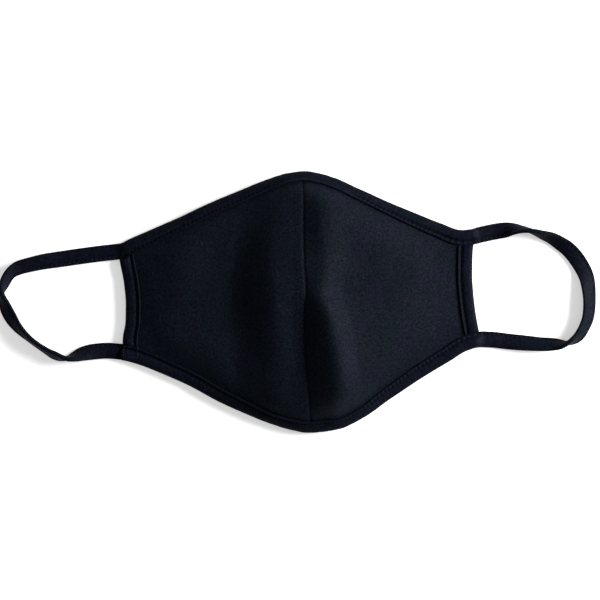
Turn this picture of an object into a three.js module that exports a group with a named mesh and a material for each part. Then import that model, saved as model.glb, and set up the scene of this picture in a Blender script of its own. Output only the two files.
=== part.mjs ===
// Cloth face mask, lying front side up: two half panels that meet at a centre seam,
// edges bound with folded tape, and two ear loops of the same tape.
// X runs along the mask, Y towards the nose edge, Z up; the table is at Z = 0.
import * as THREE from 'three';

// Driving sizes, in millimetres unless the name says otherwise
const panelWall = 1.4;          // the panels' cloth
const tapeWall = 1.0;           // one layer of tape on each side of the panel
const seatGap = 0.3;            // clearance between pieces that touch
const tapeWidth = 9.4;          // the tape's folded width
const tapeCrown = 0.5;          // how far the tape's outer layer puffs up
const strapWidth = 9.6;         // ear loop, across the flat of the folded tape
const slotDepth = tapeWall + 0.3;                       // from the fold to the bottom of the tape's slot
const slotHalf = panelWall / 2 + seatGap;
const tapeHalf = slotHalf + tapeWall;
const panelSeat = slotDepth + seatGap;                  // the panel's edge, measured from the fold

// The rim's slope turns into the mask's own form over this distance from an edge
const longEdgeReach = 25;
const shortEdgeReach = 48;
const blendPower = 3.5;
const leastRise = 0.05;         // below this height over the rim the lowest slope is taken alone

// How finely the cloth is divided
const bindingShoulder = 0.8;    // the panel's first open row lies this far inside the binding
const panelColumns = 23;
const panelInnerRows = 14;
const seamCrowding = 1.6;       // 1 spaces the panel's columns evenly, more brings them closer at the seam
const longBindingSteps = 44;
const sideBindingSteps = 10;
const loopSteps = 62;
const foldSteps = 4;

const cloth = { color: 0x15191f, roughness: 0.9, metalness: 0 };
const tape = { color: 0x17181f, roughness: 0.85, metalness: 0 };

// The nose edge's outer line, with the slope of the cloth there in degrees
const topEdge = edgeFrom('x', 'y', -1, longEdgeReach, [
  { x: -112.2, y: 34.2, tilt: 4 },
  { x: -106.2, y: 35.1, tilt: 6 },
  { x: -100.2, y: 37.9, tilt: 12 },
  { x: -88.2, y: 43.0, tilt: 22 },
  { x: -70.2, y: 50.8, tilt: 32 },
  { x: -52.2, y: 59.2, tilt: 34 },
  { x: -34.2, y: 66.6, tilt: 38 },
  { x: -16.2, y: 73.8, tilt: 46 },
  { x: -4.2, y: 77.2, tilt: 49 },
  { x: 4.2, y: 78.2, tilt: 49 },
  { x: 13.8, y: 76.7, tilt: 49 },
  { x: 22.8, y: 73.9, tilt: 48 },
  { x: 37.8, y: 67.2, tilt: 44 },
  { x: 55.8, y: 59.4, tilt: 34 },
  { x: 73.8, y: 52.1, tilt: 20 },
  { x: 85.8, y: 47.4, tilt: 13 },
  { x: 99.0, y: 43.2, tilt: 7 },
  { x: 103.8, y: 43.6, tilt: 5 },
  { x: 109.8, y: 45.0, tilt: 4 },
  { x: 116.0, y: 46.2, tilt: 4 },
]);

// The chin edge's outer line
const bottomEdge = edgeFrom('x', 'y', 1, longEdgeReach, [
  { x: -111.0, y: -34.2, tilt: 4 },
  { x: -104.7, y: -35.0, tilt: 5 },
  { x: -94.2, y: -37.8, tilt: 9 },
  { x: -82.2, y: -42.5, tilt: 13 },
  { x: -64.2, y: -50.4, tilt: 19 },
  { x: -46.2, y: -60.0, tilt: 28 },
  { x: -28.2, y: -67.8, tilt: 40 },
  { x: -16.2, y: -72.6, tilt: 48 },
  { x: -4.2, y: -76.2, tilt: 47 },
  { x: 6.6, y: -78.2, tilt: 42 },
  { x: 16.8, y: -77.4, tilt: 42 },
  { x: 25.8, y: -75.6, tilt: 50 },
  { x: 37.8, y: -70.1, tilt: 48 },
  { x: 55.8, y: -58.1, tilt: 34 },
  { x: 73.8, y: -46.2, tilt: 22 },
  { x: 91.8, y: -35.4, tilt: 12 },
  { x: 102.6, y: -29.0, tilt: 7 },
  { x: 109.8, y: -27.2, tilt: 4 },
  { x: 117.0, y: -27.2, tilt: 4 },
]);

// The two short edges, from the chin end to the nose end
const leftEdge = edgeFrom('y', 'x', 1, shortEdgeReach, [
  { y: -36.0, x: -104.8, tilt: 8 },
  { y: -21.6, x: -104.4, tilt: 13 },
  { y: -12.0, x: -102.8, tilt: 15 },
  { y: -1.8, x: -102.6, tilt: 15 },
  { y: 12.0, x: -103.8, tilt: 15 },
  { y: 21.6, x: -105.7, tilt: 12 },
  { y: 33.6, x: -108.0, tilt: 8 },
]);
const rightEdge = edgeFrom('y', 'x', -1, shortEdgeReach, [
  { y: -28.8, x: 111.6, tilt: 7 },
  { y: -13.2, x: 108.2, tilt: 11 },
  { y: -4.8, x: 106.8, tilt: 12 },
  { y: 6.0, x: 105.6, tilt: 12 },
  { y: 16.2, x: 105.0, tilt: 12 },
  { y: 27.0, x: 105.2, tilt: 10 },
  { y: 44.4, x: 107.0, tilt: 7 },
]);

// The mask's main form, as sections across it from left to right: the foot of the bulge and its ridge,
// the centre seam, and on the right the crest and the side that falls off it. Heights are above the rim.
const sections = formTable([
  ['y', 'footX', 'footZ', 'ridgeX', 'ridgeZ', 'seamX', 'seamZ', 'crestX', 'crestZ', 'sideX', 'sideZ'],
  [-76, -38, 6.0, -8, 11.6, 8.4, 11.2, 30, 19.0, 43, 14.8],
  [-53, -39, 7.6, -8, 14.8, 6.9, 14.0, 27, 24.6, 40, 18.0],
  [-29, -40, 8.4, -8, 17.4, 5.0, 15.8, 23, 26.6, 36, 19.4],
  [-13, -40, 8.8, -9, 19.6, 4.5, 18.0, 20, 27.0, 33, 19.2],
  [-3, -40, 9.0, -10, 21.4, 4.6, 20.6, 16, 26.6, 30, 18.4],
  [5, -40, 9.2, -11, 22.2, 5.4, 22.8, 13, 25.0, 28, 17.0],
  [22, -39, 9.2, -13, 20.2, 4.4, 22.0, 15, 23.0, 31, 16.6],
  [38, -37, 9.2, -14, 17.0, 4.0, 19.2, 15, 22.0, 33, 17.4],
  [55, -33, 9.0, -13, 13.6, 4.0, 16.0, 17, 20.0, 36, 16.6],
  [76, -30, 8.2, -10, 11.0, 3.3, 12.4, 22, 15.9, 38, 14.0],
]);
const leftField = [{ x: -112, z: 4.2 }, { x: -70, z: 8.4 }];
const rightField = [{ x: 64, share: 0.68 }, { x: 114, share: 0.26 }];   // heights as shares of the side's
const formLines = columnsOf(sections, 'y');

// The ear loops' centre lines, from one corner of the mask round to the other: the tape's turn about
// its own line in degrees, and how thick the folded tape stands there
const leftLoopRoute = [
  { x: -105.9, y: -29.8, roll: 0, thick: 2.6 },
  { x: -113.4, y: -29.2, roll: 0, thick: 2.2 },
  { x: -121.2, y: -29.7, roll: 8, thick: 2.2 },
  { x: -127.8, y: -30.9, roll: 30, thick: 2.2 },
  { x: -133.2, y: -32.7, roll: 60, thick: 2.8 },
  { x: -138.6, y: -33.8, roll: 92, thick: 3.2 },
  { x: -144.6, y: -32.1, roll: 112, thick: 2.8 },
  { x: -151.5, y: -28.3, roll: 104, thick: 2.8 },
  { x: -159.6, y: -22.5, roll: 105, thick: 2.6 },
  { x: -167.1, y: -15.3, roll: 124, thick: 2.4 },
  { x: -171.7, y: -8.7, roll: 142, thick: 2.2 },
  { x: -174.7, y: -2.4, roll: 134, thick: 2.4 },
  { x: -176.6, y: 4.5, roll: 100, thick: 3.2 },
  { x: -175.2, y: 10.8, roll: 66, thick: 2.6 },
  { x: -171.9, y: 16.8, roll: 56, thick: 2.4 },
  { x: -166.8, y: 20.4, roll: 36, thick: 2.2 },
  { x: -160.2, y: 22.3, roll: 30, thick: 2.2 },
  { x: -151.2, y: 24.3, roll: 18, thick: 2.2 },
  { x: -141.0, y: 25.8, roll: 4, thick: 2.2 },
  { x: -127.2, y: 27.8, roll: 0, thick: 2.2 },
  { x: -116.4, y: 29.2, roll: 0, thick: 2.2 },
  { x: -108.8, y: 30.0, roll: 0, thick: 2.6 },
];
const rightLoopRoute = [
  { x: 110.3, y: 40.4, roll: 0, thick: 2.6 },
  { x: 117.6, y: 42.0, roll: 0, thick: 2.2 },
  { x: 123.6, y: 43.0, roll: -12, thick: 2.2 },
  { x: 129.0, y: 43.8, roll: -44, thick: 2.4 },
  { x: 134.4, y: 43.6, roll: -72, thick: 3.0 },
  { x: 140.4, y: 42.4, roll: -90, thick: 3.2 },
  { x: 146.4, y: 40.2, roll: -108, thick: 3.0 },
  { x: 152.4, y: 38.0, roll: -128, thick: 2.6 },
  { x: 157.8, y: 34.9, roll: -146, thick: 2.2 },
  { x: 163.2, y: 30.9, roll: -160, thick: 2.2 },
  { x: 168.9, y: 24.0, roll: -176, thick: 2.2 },
  { x: 173.4, y: 15.0, roll: -196, thick: 2.2 },
  { x: 175.0, y: 3.0, roll: -216, thick: 2.2 },
  { x: 174.4, y: -8.1, roll: -222, thick: 2.2 },
  { x: 171.8, y: -15.3, roll: -228, thick: 2.2 },
  { x: 168.3, y: -20.7, roll: -234, thick: 2.4 },
  { x: 163.2, y: -24.0, roll: -260, thick: 3.0 },
  { x: 157.5, y: -25.3, roll: -298, thick: 2.8 },
  { x: 151.8, y: -25.4, roll: -318, thick: 2.4 },
  { x: 145.8, y: -25.3, roll: -326, thick: 2.2 },
  { x: 136.8, y: -24.6, roll: -340, thick: 2.2 },
  { x: 127.8, y: -23.8, roll: -352, thick: 2.2 },
  { x: 119.4, y: -22.8, roll: -360, thick: 2.2 },
  { x: 113.2, y: -22.4, roll: -360, thick: 2.6 },
];

// Where the bindings end and the loops go on, along X
const cornerSplit = { topLeft: -108.4, topRight: 108.6, bottomLeft: -105.4, bottomRight: 112.8 };

// A smooth curve through rising stations that never overshoots its values
function smoothCurve(stations, values) {
  const count = stations.length;
  const rise = [];
  for (let i = 0; i < count - 1; i += 1) {
    rise.push((values[i + 1] - values[i]) / (stations[i + 1] - stations[i]));
  }
  const slopes = [rise[0]];
  for (let i = 1; i < count - 1; i += 1) {
    const before = stations[i] - stations[i - 1];
    const after = stations[i + 1] - stations[i];
    const turns = rise[i - 1] * rise[i] <= 0;
    const weightBefore = 2 * after + before;
    const weightAfter = after + 2 * before;
    const mean = (weightBefore + weightAfter) / (weightBefore / rise[i - 1] + weightAfter / rise[i]);
    slopes.push(turns ? 0 : mean);
  }
  slopes.push(rise[count - 2]);

  function span(station) {
    let index = 0;
    while (index < count - 2 && station > stations[index + 1]) index += 1;
    const width = stations[index + 1] - stations[index];
    const part = THREE.MathUtils.clamp((station - stations[index]) / width, 0, 1);
    return { index, width, part };
  }
  function at(station) {
    const { index, width, part } = span(station);
    const p2 = part * part;
    const p3 = p2 * part;
    return values[index] * (2 * p3 - 3 * p2 + 1) + slopes[index] * width * (p3 - 2 * p2 + part)
      + values[index + 1] * (3 * p2 - 2 * p3) + slopes[index + 1] * width * (p3 - p2);
  }
  function slope(station) {
    const { index, width, part } = span(station);
    const step = values[index + 1] - values[index];
    return (step / width) * 6 * part * (1 - part) + slopes[index] * (1 - part) * (1 - 3 * part)
      + slopes[index + 1] * part * (3 * part - 2);
  }
  return { at, slope };
}

// Rows of a table under the column names in its first row
function formTable([names, ...rows]) {
  return rows.map((row) => Object.fromEntries(names.map((name, i) => [name, row[i]])));
}

// Each column of a table as a smooth curve over its first column
function columnsOf(rows, along) {
  const stations = rows.map((row) => row[along]);
  const columns = {};
  for (const name of Object.keys(rows[0])) {
    columns[name] = smoothCurve(stations, rows.map((row) => row[name]));
  }
  return columns;
}

// One edge of the mask: its line in plan, which side is inward, and its slope angle
function edgeFrom(along, across, inward, reach, rows) {
  const columns = columnsOf(rows, along);
  return { along, inward, reach, line: columns[across], tilt: columns.tilt };
}

// Distance in plan from a point to an edge, and the place on the edge that it is measured from
function distanceTo(edge, x, y) {
  const along = edge.along === 'x' ? x : y;
  const across = edge.along === 'x' ? y : x;
  let foot = along;
  let distance = 0;
  for (let pass = 0; pass < 4; pass += 1) {
    const slope = edge.line.slope(foot);
    const scale = 1 / Math.hypot(1, slope);
    distance = edge.inward * (across - edge.line.at(foot) - slope * (along - foot)) * scale;
    foot = along + edge.inward * distance * slope * scale;
  }
  return { distance, foot };
}

// Distance in plan for a way in along the cloth from the outside of the fold, where the cloth is tilted
function planInset(inset, tilt) {
  return inset * Math.cos(tilt) + tapeHalf * (1 - Math.cos(tilt));
}

// The height that one edge allows at a point, above the rim
function riseFrom(edge, x, y) {
  const { distance, foot } = distanceTo(edge, x, y);
  const tilt = THREE.MathUtils.degToRad(edge.tilt.at(foot));
  const inward = Math.max(0, distance - planInset(0, tilt));
  return inward * Math.tan(tilt) * (1 + (inward / edge.reach) ** 2);
}

// The main form's height above the rim, away from the edges
function formHeight(x, y) {
  const line = (name) => formLines[name].at(y);
  const seamX = line('seamX');
  const sideZ = line('sideZ');
  const curve = x < seamX
    ? smoothCurve(
      [leftField[0].x, leftField[1].x, line('footX'), line('ridgeX'), seamX],
      [leftField[0].z, leftField[1].z, line('footZ'), line('ridgeZ'), line('seamZ')],
    )
    : smoothCurve(
      [seamX, line('crestX'), line('sideX'), rightField[0].x, rightField[1].x],
      [line('seamZ'), line('crestZ'), sideZ, rightField[0].share * sideZ, rightField[1].share * sideZ],
    );
  return curve.at(x);
}

// Middle of the cloth's thickness over the table
function clothHeight(x, y) {
  const limits = [topEdge, bottomEdge, leftEdge, rightEdge].map((edge) => riseFrom(edge, x, y));
  limits.push(formHeight(x, y));
  const least = Math.min(...limits);
  if (least < leastRise) return tapeHalf + least;
  const sum = limits.reduce((total, limit) => total + limit ** -blendPower, 0);
  return tapeHalf + sum ** (-1 / blendPower);
}

// The way that the cloth faces; side says which panel it is, so that the slope is taken on that
// panel's side of the seam, and 0 takes it across the seam
function clothFacing(x, y, side = 0) {
  const step = 0.4;
  const back = side > 0 ? 0 : step;
  const ahead = side < 0 ? 0 : step;
  const slopeX = (clothHeight(x + ahead, y) - clothHeight(x - back, y)) / (ahead + back);
  const slopeY = (clothHeight(x, y + step) - clothHeight(x, y - step)) / (2 * step);
  return new THREE.Vector3(-slopeX, -slopeY, 1).normalize();
}

// A point of the cloth, moved off its middle surface by an offset
function clothPoint(x, y, offset, facing = clothFacing(x, y)) {
  return new THREE.Vector3(x, y, clothHeight(x, y)).addScaledVector(facing, offset);
}

// A geometry from corner points and triangles, turned so that its faces point outward
function closedBody(points, triangles) {
  let volume = 0;
  for (const [a, b, c] of triangles) {
    volume += points[a].dot(new THREE.Vector3().crossVectors(points[b], points[c])) / 6;
  }
  const ordered = volume > 0 ? triangles : triangles.map(([a, b, c]) => [a, c, b]);
  const positions = new Float32Array(points.flatMap((point) => point.toArray()));
  const geometry = new THREE.BufferGeometry();
  geometry.setAttribute('position', new THREE.BufferAttribute(positions, 3));
  geometry.setIndex(ordered.flat());
  geometry.computeVertexNormals();
  return geometry;
}

// A closed body through equal rings of points, with both ends capped
function sweptBody(rings, section) {
  const size = section.length;
  const points = rings.flat();
  const triangles = [];
  for (let ring = 0; ring < rings.length - 1; ring += 1) {
    for (let i = 0; i < size; i += 1) {
      const next = (i + 1) % size;
      const a = ring * size + i;
      const b = ring * size + next;
      triangles.push([a, b, b + size], [a, b + size, a + size]);
    }
  }
  const outline = section.map(([across, offset]) => new THREE.Vector2(across, offset));
  const lastRing = (rings.length - 1) * size;
  const reversed = THREE.ShapeUtils.isClockWise(outline);
  for (const [a, b, c] of THREE.ShapeUtils.triangulateShape(outline, [])) {
    const cap = reversed ? [a, b, c] : [a, c, b];
    triangles.push(cap, cap.map((corner) => corner + lastRing).reverse());
  }
  return closedBody(points, triangles);
}

// The folded tape's cross-section, as distance in from the fold and offset from the cloth's middle
function bindingSection() {
  const points = [];
  for (let step = 0; step <= foldSteps; step += 1) {
    const angle = Math.PI * (0.5 + step / foldSteps);
    points.push([tapeHalf * (1 + Math.cos(angle)), tapeHalf * Math.sin(angle)]);
  }
  const middle = tapeWidth / 2;
  points.push([middle, -tapeHalf], [tapeWidth, -tapeHalf], [tapeWidth, -slotHalf]);
  points.push([middle, -slotHalf], [slotDepth, -slotHalf]);
  points.push([slotDepth, slotHalf], [middle, slotHalf], [tapeWidth, slotHalf]);
  points.push([tapeWidth, tapeHalf], [middle, tapeHalf + tapeCrown]);
  return points;
}

// Where a point lies in plan, a given way in from a place on the nose or chin edge
function insideLongEdge(edge, x, inset) {
  const slope = edge.line.slope(x);
  const scale = edge.inward / Math.hypot(1, slope);
  const distance = planInset(inset, THREE.MathUtils.degToRad(edge.tilt.at(x)));
  return { x: x - slope * scale * distance, y: edge.line.at(x) + scale * distance };
}

// Tape along the nose or chin edge
function longBinding(edge, startX, endX) {
  const section = bindingSection();
  const rings = [];
  for (let step = 0; step <= longBindingSteps; step += 1) {
    const x = THREE.MathUtils.lerp(startX, endX, step / longBindingSteps);
    rings.push(section.map(([inset, offset]) => {
      const place = insideLongEdge(edge, x, inset);
      return clothPoint(place.x, place.y, offset);
    }));
  }
  return sweptBody(rings, section);
}

// How far north or south a point may go at a given X before it meets something set in from an edge
function limitAt(edge, x, inset) {
  const slope = edge.line.slope(x);
  const distance = planInset(inset, THREE.MathUtils.degToRad(edge.tilt.at(x)));
  return edge.line.at(x) + edge.inward * distance * Math.hypot(1, slope);
}

// Tape along a short edge, between the tapes of the long edges
function sideBinding(edge) {
  const section = bindingSection();
  const rings = [];
  const clear = tapeWidth + 2 * seatGap;
  for (let step = 0; step <= sideBindingSteps; step += 1) {
    const part = step / sideBindingSteps;
    rings.push(section.map(([inset, offset]) => {
      let y = 0;
      let x = 0;
      for (let pass = 0; pass < 4; pass += 1) {
        x = edge.line.at(y) + edge.inward * inset;
        y = THREE.MathUtils.lerp(limitAt(bottomEdge, x, clear), limitAt(topEdge, x, clear), part);
      }
      return clothPoint(x, y, offset);
    }));
  }
  return sweptBody(rings, section);
}

// Rows of a panel, from 0 at the chin edge to 1 at the nose edge: an inset from one of the edges near
// them, and a share of the way between
function panelRows() {
  const seats = [panelSeat, tapeWidth / 2, tapeWidth + bindingShoulder];
  const rows = seats.map((inset) => ({ low: inset, high: inset, share: 0 }));
  const last = seats[seats.length - 1];
  for (let step = 1; step <= panelInnerRows; step += 1) {
    rows.push({ low: last, high: last, share: step / (panelInnerRows + 1) });
  }
  return rows.concat([...seats].reverse().map((inset) => ({ low: inset, high: inset, share: 1 })));
}

// One half panel, from its short edge to the centre seam; side is -1 on the left, 1 on the right
function panel(shortEdge, side) {
  const rows = panelRows();
  const places = [];
  for (const row of rows) {
    for (let column = 0; column <= panelColumns; column += 1) {
      const part = 1 - (1 - column / panelColumns) ** seamCrowding;
      let x = 0;
      let y = 0;
      for (let pass = 0; pass < 6; pass += 1) {
        const seamX = formLines.seamX.at(y) + side * seatGap / 2;
        const edgeX = shortEdge.line.at(y) - side * panelSeat;
        x = THREE.MathUtils.lerp(edgeX, seamX, part);
        y = THREE.MathUtils.lerp(limitAt(bottomEdge, x, row.low), limitAt(topEdge, x, row.high), row.share);
      }
      const atSeam = column === panelColumns;
      const facing = atSeam ? clothFacing(formLines.seamX.at(y), y) : clothFacing(x, y, side);
      places.push({ x, y, facing });
    }
  }
  const front = places.map(({ x, y, facing }) => clothPoint(x, y, panelWall / 2, facing));
  const back = places.map(({ x, y, facing }) => clothPoint(x, y, -panelWall / 2, facing));
  const across = panelColumns + 1;
  const up = rows.length;
  const triangles = [];
  for (let row = 0; row < up - 1; row += 1) {
    for (let column = 0; column < panelColumns; column += 1) {
      const a = row * across + column;
      const corners = [a, a + 1, a + 1 + across, a + across];
      const shift = places.length;
      triangles.push([corners[0], corners[1], corners[2]], [corners[0], corners[2], corners[3]]);
      triangles.push([corners[2] + shift, corners[1] + shift, corners[0] + shift]);
      triangles.push([corners[3] + shift, corners[2] + shift, corners[0] + shift]);
    }
  }
  const rim = rimOf(up, across);
  rim.forEach((corner, index) => {
    const next = rim[(index + 1) % rim.length];
    triangles.push([corner, next + places.length, next], [corner, corner + places.length, next + places.length]);
  });
  return closedBody([...front, ...back], triangles);
}

// The outer corners of a grid of points, in order
function rimOf(up, across) {
  const rim = [];
  for (let column = 0; column < across - 1; column += 1) rim.push(column);
  for (let row = 0; row < up - 1; row += 1) rim.push(row * across + across - 1);
  for (let column = across - 1; column > 0; column -= 1) rim.push((up - 1) * across + column);
  for (let row = up - 1; row > 0; row -= 1) rim.push(row * across);
  return rim;
}

// Tape of an ear loop, lying on the table along its route and turned about its own line
function earLoop(route) {
  const path = new THREE.CatmullRomCurve3(
    route.map((row) => new THREE.Vector3(row.x, row.y, 0)), false, 'catmullrom', 0.5);
  const turning = new THREE.CatmullRomCurve3(
    route.map((row) => new THREE.Vector3(row.roll, row.thick, 0)), false, 'catmullrom', 0.5);
  const section = [[1, 0.4], [0.82, 1], [0, 1], [-0.82, 1], [-1, 0.4], [-1, -0.4], [-0.82, -1], [0, -1], [0.82, -1],
    [1, -0.4]];
  const rings = [];
  for (let step = 0; step <= loopSteps; step += 1) {
    const place = path.getPoint(step / loopSteps);
    const heading = path.getTangent(step / loopSteps);
    const turn = turning.getPoint(step / loopSteps);
    const roll = THREE.MathUtils.degToRad(turn.x);
    const halfWidth = strapWidth / 2;
    const halfThick = turn.y / 2;
    const outward = new THREE.Vector3(-heading.y, heading.x, 0);
    const up = new THREE.Vector3(0, 0, 1);
    const widthWay = outward.clone().multiplyScalar(Math.cos(roll)).addScaledVector(up, Math.sin(roll));
    const thickWay = outward.clone().multiplyScalar(-Math.sin(roll)).addScaledVector(up, Math.cos(roll));
    const ring = section.map(([across, offset]) => place.clone()
      .addScaledVector(widthWay, across * halfWidth)
      .addScaledVector(thickWay, offset * halfThick));
    const lowest = Math.min(...ring.map((point) => point.z));
    ring.forEach((point) => { point.z -= lowest; });
    rings.push(ring);
  }
  return sweptBody(rings, section);
}

function named(name, geometry, look) {
  const mesh = new THREE.Mesh(geometry, new THREE.MeshStandardMaterial(look));
  mesh.name = name;
  return mesh;
}

const mask = new THREE.Group();
mask.add(
  named('left_panel', panel(leftEdge, -1), cloth),
  named('right_panel', panel(rightEdge, 1), cloth),
  named('top_binding', longBinding(topEdge, cornerSplit.topLeft, cornerSplit.topRight), tape),
  named('bottom_binding', longBinding(bottomEdge, cornerSplit.bottomLeft, cornerSplit.bottomRight), tape),
  named('left_side_binding', sideBinding(leftEdge), tape),
  named('right_side_binding', sideBinding(rightEdge), tape),
  named('left_ear_loop', earLoop(leftLoopRoute), tape),
  named('right_ear_loop', earLoop(rightLoopRoute), tape),
);

export default mask;
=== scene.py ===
import math

import bpy
import numpy as np
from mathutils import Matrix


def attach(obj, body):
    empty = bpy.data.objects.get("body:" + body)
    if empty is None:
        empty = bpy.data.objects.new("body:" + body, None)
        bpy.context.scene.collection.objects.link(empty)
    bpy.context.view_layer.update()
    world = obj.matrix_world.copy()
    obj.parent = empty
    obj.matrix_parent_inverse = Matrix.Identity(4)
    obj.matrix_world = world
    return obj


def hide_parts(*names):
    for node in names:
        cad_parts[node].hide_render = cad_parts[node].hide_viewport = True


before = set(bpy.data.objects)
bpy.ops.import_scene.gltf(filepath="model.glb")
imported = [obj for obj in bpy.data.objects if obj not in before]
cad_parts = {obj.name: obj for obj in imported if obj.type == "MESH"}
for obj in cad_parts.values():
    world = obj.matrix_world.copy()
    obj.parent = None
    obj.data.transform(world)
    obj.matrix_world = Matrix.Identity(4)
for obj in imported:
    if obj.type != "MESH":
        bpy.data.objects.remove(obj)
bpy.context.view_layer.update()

bl_info = {
    "name": "Cloth face mask",
    "version": (1, 0, 0),
    "blender": (4, 5, 0),
    "location": "View3D > Sidebar > Mask",
    "description": "Dresses a cloth face mask's solids with knit panels, tape, ear loops and stitching",
    "category": "Object",
}

BODY = "root"

# The tables below are in millimetres and degrees; the frame and Blender's objects are in metres
MM = 0.001
UV_NAME = "cloth_mm"

# The nose edge's outer line: x, y, tilt of the cloth
TOP_EDGE_ROWS = [
    (-112.2, 34.2, 4),
    (-106.2, 35.1, 6),
    (-100.2, 37.9, 12),
    (-88.2, 43.0, 22),
    (-70.2, 50.8, 32),
    (-52.2, 59.2, 34),
    (-34.2, 66.6, 38),
    (-16.2, 73.8, 46),
    (-4.2, 77.2, 49),
    (4.2, 78.2, 49),
    (13.8, 76.7, 49),
    (22.8, 73.9, 48),
    (37.8, 67.2, 44),
    (55.8, 59.4, 34),
    (73.8, 52.1, 20),
    (85.8, 47.4, 13),
    (99.0, 43.2, 7),
    (103.8, 43.6, 5),
    (109.8, 45.0, 4),
    (116.0, 46.2, 4),
]

# The chin edge's outer line: x, y, tilt of the cloth
BOTTOM_EDGE_ROWS = [
    (-111.0, -34.2, 4),
    (-104.7, -35.0, 5),
    (-94.2, -37.8, 9),
    (-82.2, -42.5, 13),
    (-64.2, -50.4, 19),
    (-46.2, -60.0, 28),
    (-28.2, -67.8, 40),
    (-16.2, -72.6, 48),
    (-4.2, -76.2, 47),
    (6.6, -78.2, 42),
    (16.8, -77.4, 42),
    (25.8, -75.6, 50),
    (37.8, -70.1, 48),
    (55.8, -58.1, 34),
    (73.8, -46.2, 22),
    (91.8, -35.4, 12),
    (102.6, -29.0, 7),
    (109.8, -27.2, 4),
    (117.0, -27.2, 4),
]

# The two short edges, from the chin end to the nose end: y, x, tilt of the cloth
LEFT_EDGE_ROWS = [
    (-36.0, -104.8, 8),
    (-21.6, -104.4, 13),
    (-12.0, -102.8, 15),
    (-1.8, -102.6, 15),
    (12.0, -103.8, 15),
    (21.6, -105.7, 12),
    (33.6, -108.0, 8),
]
RIGHT_EDGE_ROWS = [
    (-28.8, 111.6, 7),
    (-13.2, 108.2, 11),
    (-4.8, 106.8, 12),
    (6.0, 105.6, 12),
    (16.2, 105.0, 12),
    (27.0, 105.2, 10),
    (44.4, 107.0, 7),
]

# Sections across the mask, with heights above the rim
SECTION_COLUMNS = (
    "y", "foot_x", "foot_z", "ridge_x", "ridge_z", "seam_x", "seam_z",
    "crest_x", "crest_z", "side_x", "side_z",
)
SECTION_ROWS = [
    (-76, -38, 6.0, -8, 11.6, 8.4, 11.2, 30, 19.0, 43, 14.8),
    (-53, -39, 7.6, -8, 14.8, 6.9, 14.0, 27, 24.6, 40, 18.0),
    (-29, -40, 8.4, -8, 17.4, 5.0, 15.8, 23, 26.6, 36, 19.4),
    (-13, -40, 8.8, -9, 19.6, 4.5, 18.0, 20, 27.0, 33, 19.2),
    (-3, -40, 9.0, -10, 21.4, 4.6, 20.6, 16, 26.6, 30, 18.4),
    (5, -40, 9.2, -11, 22.2, 5.4, 22.8, 13, 25.0, 28, 17.0),
    (22, -39, 9.2, -13, 20.2, 4.4, 22.0, 15, 23.0, 31, 16.6),
    (38, -37, 9.2, -14, 17.0, 4.0, 19.2, 15, 22.0, 33, 17.4),
    (55, -33, 9.0, -13, 13.6, 4.0, 16.0, 17, 20.0, 36, 16.6),
    (76, -30, 8.2, -10, 11.0, 3.3, 12.4, 22, 15.9, 38, 14.0),
]
LEFT_FIELD = [(-112.0, 4.2), (-70.0, 8.4)]
RIGHT_FIELD = [(64.0, 0.68), (114.0, 0.26)]

# The ear loops' centre lines, corner to corner: x, y, the tape's turn, the folded tape's thickness
LEFT_LOOP_ROWS = [
    (-105.9, -29.8, 0, 2.6),
    (-113.4, -29.2, 0, 2.2),
    (-121.2, -29.7, 8, 2.2),
    (-127.8, -30.9, 30, 2.2),
    (-133.2, -32.7, 60, 2.8),
    (-138.6, -33.8, 92, 3.2),
    (-144.6, -32.1, 112, 2.8),
    (-151.5, -28.3, 104, 2.8),
    (-159.6, -22.5, 105, 2.6),
    (-167.1, -15.3, 124, 2.4),
    (-171.7, -8.7, 142, 2.2),
    (-174.7, -2.4, 134, 2.4),
    (-176.6, 4.5, 100, 3.2),
    (-175.2, 10.8, 66, 2.6),
    (-171.9, 16.8, 56, 2.4),
    (-166.8, 20.4, 36, 2.2),
    (-160.2, 22.3, 30, 2.2),
    (-151.2, 24.3, 18, 2.2),
    (-141.0, 25.8, 4, 2.2),
    (-127.2, 27.8, 0, 2.2),
    (-116.4, 29.2, 0, 2.2),
    (-108.8, 30.0, 0, 2.6),
]
RIGHT_LOOP_ROWS = [
    (110.3, 40.4, 0, 2.6),
    (117.6, 42.0, 0, 2.2),
    (123.6, 43.0, -12, 2.2),
    (129.0, 43.8, -44, 2.4),
    (134.4, 43.6, -72, 3.0),
    (140.4, 42.4, -90, 3.2),
    (146.4, 40.2, -108, 3.0),
    (152.4, 38.0, -128, 2.6),
    (157.8, 34.9, -146, 2.2),
    (163.2, 30.9, -160, 2.2),
    (168.9, 24.0, -176, 2.2),
    (173.4, 15.0, -196, 2.2),
    (175.0, 3.0, -216, 2.2),
    (174.4, -8.1, -222, 2.2),
    (171.8, -15.3, -228, 2.2),
    (168.3, -20.7, -234, 2.4),
    (163.2, -24.0, -260, 3.0),
    (157.5, -25.3, -298, 2.8),
    (151.8, -25.4, -318, 2.4),
    (145.8, -25.3, -326, 2.2),
    (136.8, -24.6, -340, 2.2),
    (127.8, -23.8, -352, 2.2),
    (119.4, -22.8, -360, 2.2),
    (113.2, -22.4, -360, 2.6),
]

# Where the chin binding's free end is, at the left corner
BOTTOM_LEFT_END = -105.4

# The rim's slope turns into the mask's own form over this distance from an edge
LONG_EDGE_REACH = 25.0
SHORT_EDGE_REACH = 48.0

# The form is the soft least of its limits, and the plain least where that is under the least rise
BLEND_POWER = 3.5
LEAST_RISE = 0.05

# The step over which the cloth's slope is measured, and the rounds that settle a place beside an edge
SLOPE_STEP = 0.4
SETTLING_ROUNDS = 4

# Soft noise: its waves, their lengths as shares of the wanted one, and what brings their sum to about 1
NOISE_WAVES = 7
NOISE_LENGTHS = (0.7, 1.6)
NOISE_DIVISOR = 3

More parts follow.
